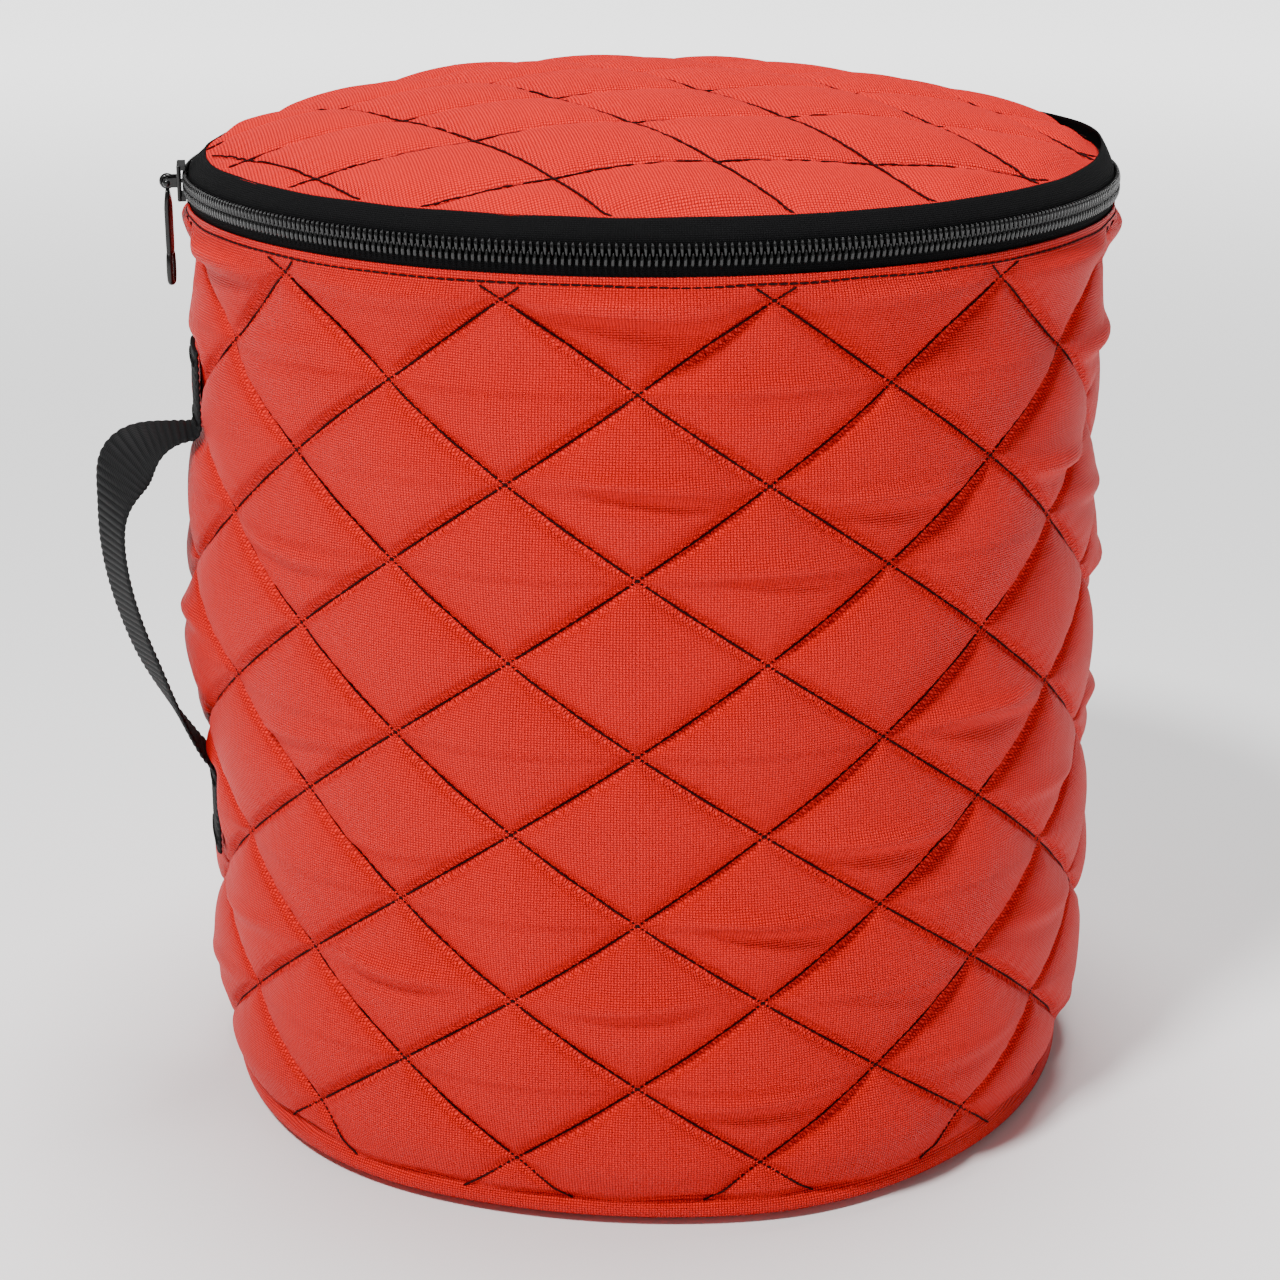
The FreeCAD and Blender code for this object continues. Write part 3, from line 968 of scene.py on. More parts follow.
        # Under the foot: from the last outside row in to the base seam, then up the lining's side.
        under_t = np.linspace(0.12, 1.0, 7)
        last = outside[:, -1]
        last_r = np.hypot(last[:, 0], last[:, 1])
        tuck = 1.0 + 0.25 * soft_noise(3.0 * np.sin(angle), 3.0 * np.cos(angle), 23)
        under_r = last_r[:, None] + (self.under_r - last_r)[:, None] * under_t
        under_z = last[:, 2:3] * (1 - np.sin(under_t * math.pi / 2)) + 0.9 * MM
        under = on_drum(angle[:, None], under_r, np.maximum(under_z * tuck[:, None], 0.8 * MM))
        lining_z = np.linspace(7.0, 268.0, 88) * MM
        lz, la = np.meshgrid(lining_z, angle)
        a, b = self.cells(la, lz)
        dome = np.abs(np.sin(math.pi * a) * np.sin(math.pi * b)) ** 0.6
        fade = smooth_step(lz, 7 * MM, 20 * MM) * smooth_step(lz, 268 * MM, 255 * MM)
        inside_r = self.mean_radius(la, lz) - self.wall_t - fade * (1.8 * MM * dome - 0.9 * MM)
        inside_r = np.minimum(inside_r, 133.4 * MM)
        inside = on_drum(la, inside_r, lz)
        lip = on_drum(angle[:, None], np.array([[136.5, 138.8, 140.0, 140.6, 141.2]]) * MM,
                      np.array([[270.0, 273.0, 278.0, 281.4, 282.0]]) * MM)
        ring = np.concatenate([outside, under, inside, lip], axis=1)
        quads = grid_quads(n, ring.shape[1], True, True)
        run = np.concatenate([[0.0], np.cumsum(np.linalg.norm(np.diff(ring[0], axis=0), axis=-1))])
        run = np.append(run, run[-1] + 0.4 * MM)
        u = np.arange(n + 1)[:, None] / n * 2 * math.pi * 141 * MM + np.zeros((1, ring.shape[1] + 1))
        v = np.zeros((n + 1, 1)) - run[None, :]
        uv = grid_uv(u, v)
        quads, uv = split_in_valleys(quads, uv, np.hypot(ring[..., 0], ring[..., 1]).ravel())
        piece = new_piece("wall_quilt", ring.reshape(-1, 3), quads, finishes["wall_cloth"], uv)
        piece.data.materials.append(finishes["lining_cloth"])
        column = np.tile(np.arange(ring.shape[1]), n)
        first_inside = outside.shape[1] + under.shape[1]
        piece.data.polygons.foreach_set(
            "material_index", ((column >= first_inside - 1) & (column < ring.shape[1] - 2)).astype(np.int32))
        place(piece, "drum", "shell_fabric", "wall_shell", "wall_wadding", "wall_lining")
        self.stitch_quilting(finishes)
        self.stitch_hem(finishes)

    def stitch_quilting(self, finishes: Finishes) -> None:
        """Thread beads along every quilting line, laid in its valley.

        Args:
            finishes: The bag's materials.
        """
        pitch, start_z, end_z = 2.75 * MM, 279.0 * MM, 7 * MM
        column_width = 141 * MM * 2 * math.pi / self.columns
        slope_length = math.hypot(column_width, self.row_height)
        count = int((start_z - end_z) / self.row_height * slope_length / pitch)
        t = (np.arange(count) + 0.5) / count
        z = start_z + (end_z - start_z) * t
        row = (self.first_row_z - z) / self.row_height
        shape, quads = bead(2.85 * MM, 0.74 * MM, 0.66 * MM)
        origins, axes = [], []
        for turn in (-1, 1):
            for start in range(0, self.columns, 2):
                angle = self.first_column + (start + turn * row) * 2 * math.pi / self.columns
                radius = self.surface_at(angle, z) + 0.3 * MM
                centre = on_drum(angle, radius, z)
                ahead = unit(np.gradient(centre, axis=0))
                out = unit(centre * [1.0, 1.0, 0.0])
                side = unit(np.cross(out, ahead))
                origins.append(centre)
                axes.append(np.stack([ahead, side, np.cross(ahead, side)], axis=1))
        piece = stamped("wall_quilting", shape, quads, np.concatenate(origins), np.concatenate(axes),
                        finishes["quilt_thread"])
        place(piece, "drum", "thread")

    def stitch_hem(self, finishes: Finishes) -> None:
        """Topstitching just under the zip tape.

        Args:
            finishes: The bag's materials.
        """
        z, pitch = 279.9 * MM, 2.9 * MM
        count = int(2 * math.pi * 141.8 * MM / pitch)
        angle = np.arange(count) * 2 * math.pi / count
        centre = on_drum(angle, self.surface_at(angle, np.full(count, z)) + 0.05 * MM,
                         z + 0.25 * MM * soft_noise(angle * 3, angle, 5))
        out = unit(centre * [1.0, 1.0, 0.0])
        ahead = np.stack([-out[:, 1], out[:, 0], np.zeros(count)], -1)
        shape, quads = bead(2.6 * MM, 0.7 * MM, 0.55 * MM)
        piece = stamped("hem_topstitch", shape, quads, centre,
                        np.stack([ahead, np.cross(out, ahead), out], axis=1), finishes["quilt_thread"])
        place(piece, "drum", "thread", "rim_topstitch")


# ------------------------------------------------------------------------------------------------
# Rings and strips
# ------------------------------------------------------------------------------------------------
@dataclass
class Band:
    """Closed outline in (radius, height) carried round the drum between two compass angles."""
    name: str
    outline: list[tuple[float, float]]
    start: float
    end: float
    wave: float = 0.35 * MM
    step: float = 2.4 * MM
    seed: int = 3
    follows_lid: bool = False

    def grid(self) -> tuple[np.ndarray, np.ndarray]:
        """Points of the band: its outline at each angle, shifted by seeded waves that grow upwards.

        Returns:
            Points of shape (angles, outline, 3), and the angles.
        """
        outline = np.array(self.outline) * MM
        count = int(abs(self.end - self.start) * 0.141 / self.step) + 2
        angle = np.linspace(self.start, self.end, count)
        wave = self.wave * soft_noise(angle * 2.2, angle * 0.0, self.seed)
        top = smooth_step(outline[:, 1], outline[:, 1].min(), outline[:, 1].max())
        radius = outline[:, 0] + wave[:, None] * top
        sway = soft_noise(angle * 3.1, angle * 0.0, self.seed + 1)
        height = outline[:, 1] + 0.6 * self.wave * top * sway[:, None]
        if self.follows_lid:
            lean = smooth_step(outline[:, 1], 291.0 * MM, 297.5 * MM)
            proud = np.exp(-((angle - math.radians(100)) / math.radians(24)) ** 2)[:, None]
            inset = side_inset(angle)[:, None] * (1.0 - proud)
            radius = radius + lean * (0.6 * MM * proud - inset)
            height = height + lean * 2.4 * MM * proud
        return on_drum(angle[:, None], radius, height), angle

    def make(self, material: bpy.types.Material) -> bpy.types.Object:
        """Mesh of the band, with both ends closed.

        Args:
            material: Finish of the band.

        Returns:
            The new object.
        """
        points, angle = self.grid()
        rows, columns = points.shape[:2]
        quads = grid_quads(rows, columns, False, True)
        outline = np.array(self.outline + self.outline[:1]) * MM
        run = np.concatenate([[0.0], np.cumsum(np.linalg.norm(np.diff(outline, axis=0), axis=-1))])
        uv = grid_uv(angle[:, None] * 0.141 + 0 * run, run + 0 * angle[:, None])
        ends = []
        for first in (0, (rows - 1) * columns):
            for k in range(columns // 2 - 1):
                cap = [first + k, first + k + 1, first + columns - 2 - k, first + columns - 1 - k]
                ends.append(cap if first == 0 else cap[::-1])
        cap_uv = np.zeros((len(ends), 4, 2))
        return new_piece(self.name, points.reshape(-1, 3), np.concatenate([quads, np.array(ends)]), material,
                         np.concatenate([uv, cap_uv]))


def ribbon_outline(path: list[tuple[float, float]], thickness: float) -> list[tuple[float, float]]:
    """Closed outline of a ribbon whose outer face follows a path in (radius, height), in millimetres.

    Args:
        path: Points of the outer face, upwards.
        thickness: Thickness of the ribbon, towards the drum's axis.

    Returns:
        Points of the outer face, then of the inner face back down.
    """
    return path + [(r - thickness, z) for r, z in reversed(path)]


@dataclass
class ZipFastener:
    """Tapes, interlocking teeth and the fabric hinge of the lid's zip."""
    tape_r: float = 141.0
    tape_t: float = 0.6
    chain_z: float = 288.4
    tooth_pitch: float = 1.88
    tooth_length: float = 3.5
    hinge_half: float = math.radians(18.0)
    chain_end: float = math.radians(159.5)
    lean: tuple[tuple[float, float], ...] = ((141.0, 291.0), (140.8, 292.2), (140.1, 293.7), (139.1, 295.2),
                                             (138.1, 296.5), (137.4, 297.5))

    def build(self, finishes: Finishes) -> None:
        """Make both tapes, the hinge fabric and both rows of teeth.

        Args:
            finishes: The bag's materials.
        """
        low_path = [(138.0, 272.0), (138.4, 276.0), (139.9, 279.5),
                    (self.tape_r, 282.0), (self.tape_r, 284.6), (self.tape_r, 287.2)]
        high_path = [(self.tape_r, 289.6), (self.tape_r, 290.4), *self.lean]
        tape_end = math.pi - self.hinge_half - 0.003
        lower = Band("zip_tape_under", ribbon_outline(low_path, self.tape_t), -tape_end, tape_end,
                     0.12 * MM, seed=31)
        place(lower.make(finishes["zip_tape"]), "drum", "zip_tape", "zip_tape_lower")
        upper = Band("zip_tape_over", ribbon_outline(high_path, self.tape_t), -tape_end, tape_end,
                     0.3 * MM, seed=35, follows_lid=True)
        place(upper.make(finishes["zip_tape"]), "lid", "zip_tape", "zip_tape_upper")
        bound = Band("rim_bound_edge", ribbon_outline([(136.9, 268.0), (137.3, 274.0), (138.4, 280.8)], 1.6),
                     -tape_end, tape_end + 2 * (math.pi - tape_end), 0.0)
        place(bound.make(finishes["binding"]), "drum", "binding", "rim_binding")
        self.build_hinge(finishes)
        self.build_teeth(finishes)

    def build_hinge(self, finishes: Finishes) -> None:
        """Fabric that joins drum and lid behind, its rows closer together along the chain's height.

        Args:
            finishes: The bag's materials.
        """
        heights = np.concatenate([np.arange(282.0, 284.0, 1.0), np.arange(284.0, 291.0, 0.7)])
        path = [(138.0, 272.0), (138.4, 276.0), (139.9, 279.5)]
        path += [(self.tape_r, float(z)) for z in heights] + list(self.lean)
        band = Band("hinge_fabric", ribbon_outline(path, self.tape_t), math.pi - self.hinge_half,
                    math.pi + self.hinge_half, 0.0)
        piece = band.make(finishes["zip_tape"])
        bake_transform(piece)
        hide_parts("hinge_panel_lower", "hinge_panel_upper")
        log.info("%s: %d faces", piece.name, len(piece.data.polygons))

    def build_teeth(self, finishes: Finishes) -> None:
        """Two rows of wire loops whose heads lie between each other.

        Args:
            finishes: The bag's materials.
        """
        count = int(2 * self.chain_end * self.tape_r / self.tooth_pitch)
        shape, quads = bead(self.tooth_length * MM, 1.45 * MM, 1.7 * MM, 0.2 * MM, rings=6, taper=0.5)
        for side, body, node in ((-1, "drum", "zip_coil_lower"), (1, "lid", "zip_coil_upper")):
            angle = -self.chain_end + (np.arange(count) + 0.25 + 0.25 * side) * 2 * self.chain_end / count
            centre = on_drum(angle, (self.tape_r + 0.95) * MM,
                             (self.chain_z + side * (self.tooth_length / 2 - 0.45)) * MM + 0 * angle)
            out = unit(centre * [1.0, 1.0, 0.0])
            along = np.stack([-out[:, 1], out[:, 0], np.zeros(count)], -1)
            towards = unit(np.array([0.0, 0.0, -side]) + 0.06 * along)
            piece = stamped("teeth_of_" + body, shape, quads, centre,
                            np.stack([towards, np.cross(out, towards), out], axis=1), finishes["coil_nylon"])
            place(piece, body, "zip_coil", node)


# ------------------------------------------------------------------------------------------------
# Lid
# ------------------------------------------------------------------------------------------------
def side_inset(angle: np.ndarray) -> np.ndarray:
    """How far the lid's edge is drawn in a little behind both sides, as a bell over the compass angle.

    Args:
        angle: Compass angles in radians.

    Returns:
        Distances in metres.
    """
    turned = np.abs(np.mod(angle + math.pi, 2 * math.pi) - math.pi)
    return 4.2 * MM * np.exp(-((turned - math.radians(110)) / math.radians(26)) ** 2)


@dataclass
class Lid:
    """Quilted lid: a domed disc whose quilting lines cross at a slant.

    The disc's grid is a square bent into a circle: ring = the larger of |s| and |t|, and the angle on the
    ring grows with the smaller one.
    """
    radius: float = 137.2 * MM
    edge_z: float = 297.2 * MM
    rise: float = 19.0 * MM
    side: int = 141
    puff: float = 2.8 * MM
    sink: float = 0.1 * MM
    line_turns: tuple[float, float] = (math.radians(33.4), math.radians(104.1))
    line_starts: tuple[float, float] = (-169.3 * MM, -141.2 * MM)
    line_steps: tuple[float, float] = (42.9 * MM, 39.7 * MM)

    def disc(self, s: np.ndarray, t: np.ndarray) -> tuple[np.ndarray, np.ndarray]:
        """Place on the unit disc of a place on the square from -1 to 1.

        Args:
            s: First coordinate on the square.
            t: Second coordinate on the square.

        Returns:
            Both coordinates on the disc.
        """
        wide = np.abs(s) > np.abs(t)
        ring = np.where(wide, s, t)
        safe = np.where(np.abs(ring) < 1e-12, 1.0, ring)
        turn = np.where(wide, math.pi / 4 * t / safe, math.pi / 2 - math.pi / 4 * s / safe)
        return ring * np.cos(turn), ring * np.sin(turn)

    def square(self, x: np.ndarray, y: np.ndarray) -> tuple[np.ndarray, np.ndarray]:
        """Place on the square of a place on the unit disc, the inverse of disc.

        Args:
            x: First coordinate on the disc.
            y: Second coordinate on the disc.

        Returns:
            Both coordinates on the square.
        """
        ring = np.hypot(x, y)
        wide = np.abs(x) >= np.abs(y)
        turn_x = np.arctan2(y * np.sign(x), np.abs(x))
        turn_y = np.arctan2(x * np.sign(y), np.abs(y))
        s = np.where(wide, np.sign(x) * ring, ring * np.sign(y) * turn_y * 4 / math.pi)
        t = np.where(wide, ring * np.sign(x) * turn_x * 4 / math.pi, np.sign(y) * ring)
        return s, t

    def cells(self, x: np.ndarray, y: np.ndarray) -> tuple[np.ndarray, np.ndarray]:
        """Lattice coordinates: (x cos(turn) + y sin(turn) - start) / step for each family of lines.

        Args:
            x: First coordinate on the lid.
            y: Second coordinate on the lid.

        Returns:
            Two arrays, each a whole number on the lines of its family.
        """
        found = [(x * math.cos(turn) + y * math.sin(turn) - start) / step
                 for turn, start, step in zip(self.line_turns, self.line_starts, self.line_steps)]
        return found[0], found[1]

    def dome(self, r: np.ndarray) -> np.ndarray:
        """Height of the quilting lines' level at a distance from the axis: edge + rise (1 - (r / R)^2.5)."""
        return self.edge_z + self.rise * (1.0 - np.clip(r / self.radius, 0.0, 1.0) ** 2.5)

    def build(self, finishes: Finishes) -> None:
        """Make the quilted top, its stitches and the lining under it.

        Args:
            finishes: The bag's materials.
        """
        line = np.linspace(-1.0, 1.0, self.side)
        s, t = np.meshgrid(line, line, indexing="ij")
        x, y = (self.radius * part for part in self.disc(s, t))
        r = np.hypot(x, y)
        a, b = self.cells(x, y)
        loose = smooth_step(r, 136.6 * MM, 128 * MM)
        swell = np.abs(np.sin(math.pi * a) * np.sin(math.pi * b)) ** 0.55
        wave = 0.7 * MM * soft_noise(x / 0.11, y / 0.11, 41)
        z = self.dome(r) + loose * (self.puff * swell - self.sink + wave)
        points = np.stack([x, y, z], -1)
        inset = side_inset(np.arctan2(x, -y)) * np.clip(r / self.radius, 0.0, 1.0) ** 6
        away = np.minimum(np.abs(a - np.round(a)) * self.line_steps[0],
                          np.abs(b - np.round(b)) * self.line_steps[1])
        held = ((away < 1.0 * MM) | (r > 135 * MM)).astype(float)
        start = points.reshape(-1, 3)
        moved = Inflation(pressure=2.5).run(start, grid_quads(self.side, self.side, False, False),
                                            held.ravel(), start * [1.02, 1.035, 1.0])
        points = moved.reshape(points.shape)
        points[..., :2] *= (1.0 - inset / self.radius)[..., None]
        self.top = self.creased(refined(refined(points, 0, False), 1, False))
        self.dress(finishes)

    def creased(self, top: np.ndarray) -> np.ndarray:
        """Add the sharp valley along each quilting line and small puckers beside it.

        Args:
            top: Grid of the top's points.

        Returns:
            The grid moved along its normals.
        """
        x, y = top[..., 0], top[..., 1]
        a, b = self.cells(x, y)
        da = np.abs(a - np.round(a)) * self.line_steps[0]
        db = np.abs(b - np.round(b)) * self.line_steps[1]
        line = np.minimum(da, db)
        loose = smooth_step(np.hypot(x, y), 136.8 * MM, 133 * MM)
        along = np.where(da < db, b * self.line_steps[1], a * self.line_steps[0])
        pucker = np.cos(2 * math.pi * along / (7 * MM) + 3.0 * soft_noise(x / 0.04, y / 0.04, 12))
        valley = -0.5 * MM * np.exp(-line / (1.2 * MM)) - 0.9 * MM * np.exp(-line / (4.5 * MM))
        ruffle = 0.22 * MM * pucker * np.exp(-line / (5 * MM)) * smooth_step(line, 0.4 * MM, 3 * MM)
        up = grid_normals(top, False, False)
        up = up * np.sign(up[..., 2:3])
        return top + up * (loose * (valley + ruffle))[..., None]

    def height_at(self, x: np.ndarray, y: np.ndarray) -> np.ndarray:
        """Height of the finished top at places on it, read from its grid.

        Args:
            x: First coordinate on the lid.
            y: Second coordinate on the lid.

        Returns:
            Heights.
        """
        s, t = self.square(x / self.radius, y / self.radius)
        n = self.top.shape[0] - 1
        u, v = (np.clip((part + 1) / 2 * n, 0, n - 1e-6) for part in (s, t))
        i, j = u.astype(int), v.astype(int)
        fu, fv = u - i, v - j
        z = self.top[..., 2]
        near = z[i, j] * (1 - fu) + z[i + 1, j] * fu
        far = z[i, j + 1] * (1 - fu) + z[i + 1, j + 1] * fu
        return near * (1 - fv) + far * fv

    def dress(self, finishes: Finishes) -> None:
        """Close the top with its skirt behind the tape, and place it with threads and lining.

        Args:
            finishes: The bag's materials.
        """
        top = self.top
        n = top.shape[0]
        number = np.arange(n * n).reshape(n, n)
        rim = np.concatenate([number[:-1, 0], number[-1, :-1], number[:0:-1, -1], number[0, :0:-1]])
        flat = top.reshape(-1, 3)
        edge = flat[rim]
        skirt = [edge * [k, k, 1.0] - [0.0, 0.0, drop * MM] for k, drop in
                 ((0.9968, 1.0), (0.9940, 3.0), (0.9935, 5.5), (0.9890, 7.4), (0.9700, 7.9))]
        points = np.concatenate([flat] + skirt)
        count = len(rim)
        loops = np.stack([rim] + [n * n + k * count + np.arange(count) for k in range(len(skirt))])
        following = np.roll(loops, -1, axis=1)
        sides = np.stack([loops[:-1], following[:-1], following[1:], loops[1:]], -1).reshape(-1, 4)
        quads = np.concatenate([grid_quads(n, n, False, False), sides[:, ::-1]])
        uv = points[quads][..., :2]
        uv[len(quads) - len(sides):, :, 1] += points[quads[len(quads) - len(sides):]][..., 2]
        turn = math.radians(12.0)
        uv = uv @ np.array([[math.cos(turn), -math.sin(turn)], [math.sin(turn), math.cos(turn)]])
        quads, uv = split_in_valleys(quads, uv, points[:, 2])
        piece = new_piece("lid_quilt", points, quads, finishes["lid_cloth"], uv)
        place(piece, "lid", "lid_fabric", "lid_shell", "lid_wadding")
        self.line_underside(finishes)
        self.stitch_quilting(finishes)

    def line_underside(self, finishes: Finishes) -> None:
        """Lining under the lid: a thin quilted disc.

        Args:
            finishes: The bag's materials.
        """
        side = 71
        line = np.linspace(-1.0, 1.0, side)
        s, t = np.meshgrid(line, line, indexing="ij")
        x, y = (135.9 * MM * part for part in self.disc(s, t))
        r = np.hypot(x, y)
        a, b = self.cells(x, y)
        swell = np.abs(np.sin(math.pi * a) * np.sin(math.pi * b)) ** 0.6
        fade = smooth_step(r, 135 * MM, 125 * MM)
        low = self.dome(r) - 7.3 * MM - 2.0 * MM * swell * fade
        under = np.stack([x, y, low], -1).reshape(-1, 3)
        over = np.stack([x, y, low + 1.2 * MM], -1).reshape(-1, 3)
        number = np.arange(side * side).reshape(side, side)
        rim = np.concatenate([number[:-1, 0], number[-1, :-1], number[:0:-1, -1], number[0, :0:-1]])
        after = np.roll(rim, -1)
        flat = grid_quads(side, side, False, False)
        sides = np.stack([rim, rim + side * side, after + side * side, after], -1)
        points = np.concatenate([under, over])
        quads = np.concatenate([flat[:, ::-1], flat + side * side, sides])
        piece = new_piece("lid_underside", points, quads, finishes["lining_cloth"], points[quads][..., :2])
        place(piece, "lid", "lining_fabric", "lid_lining")

    def stitch_quilting(self, finishes: Finishes) -> None:
        """Thread beads along every quilting line of the lid.

        Args:
            finishes: The bag's materials.
        """
        pitch, reach = 2.8 * MM, 134.5 * MM
        shape, quads = bead(2.85 * MM, 0.74 * MM, 0.66 * MM)
        origins, axes = [], []
        for turn, start, step in zip(self.line_turns, self.line_starts, self.line_steps):
            for k in range(1, 8):
                away = start + k * step
                if abs(away) > reach - 6 * MM:
                    continue
                half = math.sqrt(reach ** 2 - away ** 2)
                run = np.arange(-half, half, pitch)
                x = away * math.cos(turn) - run * math.sin(turn)
                y = away * math.sin(turn) + run * math.cos(turn)
                centre = np.stack([x, y, self.height_at(x, y) + 0.3 * MM], -1)
                ahead = unit(np.gradient(centre, axis=0))
                side = unit(np.cross([0.0, 0.0, 1.0], ahead))
                origins.append(centre)
                axes.append(np.stack([ahead, side, np.cross(ahead, side)], axis=1))
        piece = stamped("lid_quilting", shape, quads, np.concatenate(origins), np.concatenate(axes),
                        finishes["quilt_thread"])
        place(piece, "lid", "thread")


# ------------------------------------------------------------------------------------------------
# Base
# ------------------------------------------------------------------------------------------------
@dataclass
class Base:
    """Padded base panel: red underneath, lining on top."""
    radius: float = 132.6 * MM
    flat_r: float = 130.0 * MM
    rings: int = 60
    turns: int = 180
    check: float = 0.07

    def build(self, finishes: Finishes) -> None:
        """Make the panel from two discs and a rounded edge.

        Args:
            finishes: The bag's materials.
        """
        turn = np.linspace(0, 2 * math.pi, self.turns, endpoint=False)[:, None]
        below = np.linspace(1.0 * MM, self.flat_r, self.rings)
        # The rounded edge: how far each of its five rings lies inside the panel's radius.
        edge = self.radius - np.array([1.0, 0.2, 0.0, 0.2, 1.0]) * MM
        r = np.concatenate([below, edge, below[::-1]])
        x, y = r * np.sin(turn), -r * np.cos(turn)
        swell = np.abs(np.sin(math.pi * (x + y) / self.check) * np.sin(math.pi * (x - y) / self.check)) ** 0.6
        swell = swell * smooth_step(r, self.flat_r, self.flat_r - 12 * MM)
        low = 0.6 * MM - 0.4 * MM * swell
        high = 5.4 * MM + 0.8 * MM * swell
        blend = np.concatenate([np.zeros(self.rings), [0.08, 0.25, 0.5, 0.75, 0.92], np.ones(self.rings)])
        points = np.stack([x, y, low * (1 - blend) + high * blend], -1)
        rows, columns = points.shape[:2]
        grid = grid_quads(rows, columns, True, True)
        piece = new_piece("base_pad", points.reshape(-1, 3), grid, finishes["wall_cloth"],
                          points.reshape(-1, 3)[grid][..., :2])
        piece.data.materials.append(finishes["lining_cloth"])
        column = np.tile(np.arange(columns), rows)
        piece.data.polygons.foreach_set("material_index",
                                        ((column >= self.rings + 2) & (column < columns - 1)).astype(np.int32))
        place(piece, "drum", "shell_fabric", "base_shell", "base_wadding", "base_lining")


# ------------------------------------------------------------------------------------------------
# Handle
# ------------------------------------------------------------------------------------------------
@dataclass
class Handle:
    """Webbing handle: two halves that meet in the middle of the grip, each with its sewn tail."""
    at: float = math.radians(-79.0)
    width: float = 25.0 * MM
    thickness: float = 1.6 * MM
    rib: float = 2.3 * MM
    rib_depth: float = 0.32 * MM
    middle_z: float = 163.0 * MM
    root_r: float = 142.2 * MM
    tails: tuple[float, float, float, float] = (240.0 * MM, 213.0 * MM, 104.0 * MM, 77.0 * MM)
    top_reach: float = 44.0 * MM
    low_reach: float = 29.0 * MM
    low_rise: float = 44.0 * MM
    lean: float = math.radians(17.0)
    shoulder_lean: float = math.radians(22.0)
    tack_rows: tuple[float, float, float, float] = (236.0 * MM, 217.5 * MM, 100.5 * MM, 81.0 * MM)
    tack_r: float = 143.2 * MM
    tack_stitches: int = 26

    def centre(self) -> tuple[np.ndarray, np.ndarray]:
        """Middle line in (radius, height) and its twist, evenly spaced at an eighth of a rib.

        Between its straight tails the line is one Bezier curve. The twist is a steady lean over the loop
        and a bell at the shoulder, where the strap turns down.

        Returns:
            Rows of radius, height and twist, and the distance along the line.
        """
        top, upper, lower, bottom = self.tails
        poles = np.array([[self.root_r, upper], [self.root_r + self.top_reach, upper],
                          [self.root_r + self.low_reach, lower + self.low_rise], [self.root_r, lower]])
        t = np.linspace(0.0, 1.0, 600)[:, None]
        weights = ((1 - t) ** 3, 3 * t * (1 - t) ** 2, 3 * t ** 2 * (1 - t), t ** 3)
        loop = sum(weight * pole for weight, pole in zip(weights, poles))
        lean = self.lean * smooth_step(t, 0.0, 0.2) * smooth_step(t, 1.0, 0.72)
        lean = lean + self.shoulder_lean * np.exp(-((t - 0.24) / 0.1) ** 2)
        loop = np.concatenate([loop, lean], axis=1)
        ends = np.array([[self.root_r, top, 0.0], [self.root_r, bottom, 0.0]])
        fine = np.concatenate([ends[:1], loop, ends[1:]])
        run = np.concatenate([[0.0], np.cumsum(np.linalg.norm(np.diff(fine[:, :2], axis=0), axis=1))])
        even = np.arange(0.0, run[-1], self.rib / 8)
        line = np.stack([np.interp(even, run, fine[:, k]) for k in range(3)], -1)
        # A running mean over about three ribs softens the bend where the strap leaves its tails.
        reach = 12
        padded = np.concatenate([np.repeat(line[:1], reach, 0), line, np.repeat(line[-1:], reach, 0)])
        window = np.ones(2 * reach + 1) / (2 * reach + 1)
        soft = np.stack([np.convolve(padded[:, k], window, "valid") for k in range(3)], -1)
        soft[:reach], soft[-reach:] = line[:reach], line[-reach:]
        return soft, even

    def build(self, finishes: Finishes) -> None:
        """Make both halves and the bar tacks.

        Args:
            finishes: The bag's materials.
        """
        line, run = self.centre()
        middle = int(np.argmin(np.abs(line[:, 1] - self.middle_z)))
        upper = self.strap("handle_upper_half", line[:middle + 1], run[:middle + 1], finishes)
        lower = self.strap("handle_lower_half", line[middle:], run[middle:], finishes)
        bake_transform(upper)
        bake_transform(lower)
        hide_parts("handle_tail_upper", "handle_root_upper", "handle_grip")
        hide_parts("handle_tail_lower", "handle_root_lower")
        for half in (upper, lower):
            log.info("%s: %d faces", half.name, len(half.data.polygons))
        self.tack(finishes)

    def strap(self, name: str, line: np.ndarray, run: np.ndarray, finishes: Finishes) -> bpy.types.Object:
        """One half of the strap: a flat, ribbed ribbon that turns about its middle line by its twist.

        Args:
            name: Name of the piece.
            line: Radius, height and twist along it.
            run: Distance along it.
            finishes: The bag's materials.

        Returns:
            The new object.
        """
        out = np.array([math.sin(self.at), -math.cos(self.at), 0.0])
        side = np.array([math.cos(self.at), math.sin(self.at), 0.0])
        slope = unit(np.gradient(line[:, :2], axis=0))
        face = slope[:, 1:2] * -out + slope[:, 0:1] * np.array([0.0, 0.0, 1.0])
        centre = line[:, 0:1] * out + line[:, 1:2] * np.array([0.0, 0.0, 1.0])
        # The edge nearest the front goes in and down as the twist grows.
        near = -side if side[1] > 0 else side
        across = np.cos(line[:, 2:3]) * near - np.sin(line[:, 2:3]) * face
        normal = np.cos(line[:, 2:3]) * face + np.sin(line[:, 2:3]) * near
        t = np.concatenate([np.linspace(-1, 1, 17), np.linspace(1, -1, 17)])
        sign = np.concatenate([np.ones(17), -np.ones(17)])
        ridge = np.abs(np.sin(math.pi * run / self.rib))[:, None]
        wide = self.width / 2 * (1.0 - 0.028 * (1 - ridge))
        slim = np.sqrt(np.clip(1.0 - (np.abs(t) ** 12), 0.0, 1.0)) * 0.85 + 0.15
        thick = (self.thickness / 2 - self.rib_depth * (1 - ridge)) * slim * sign
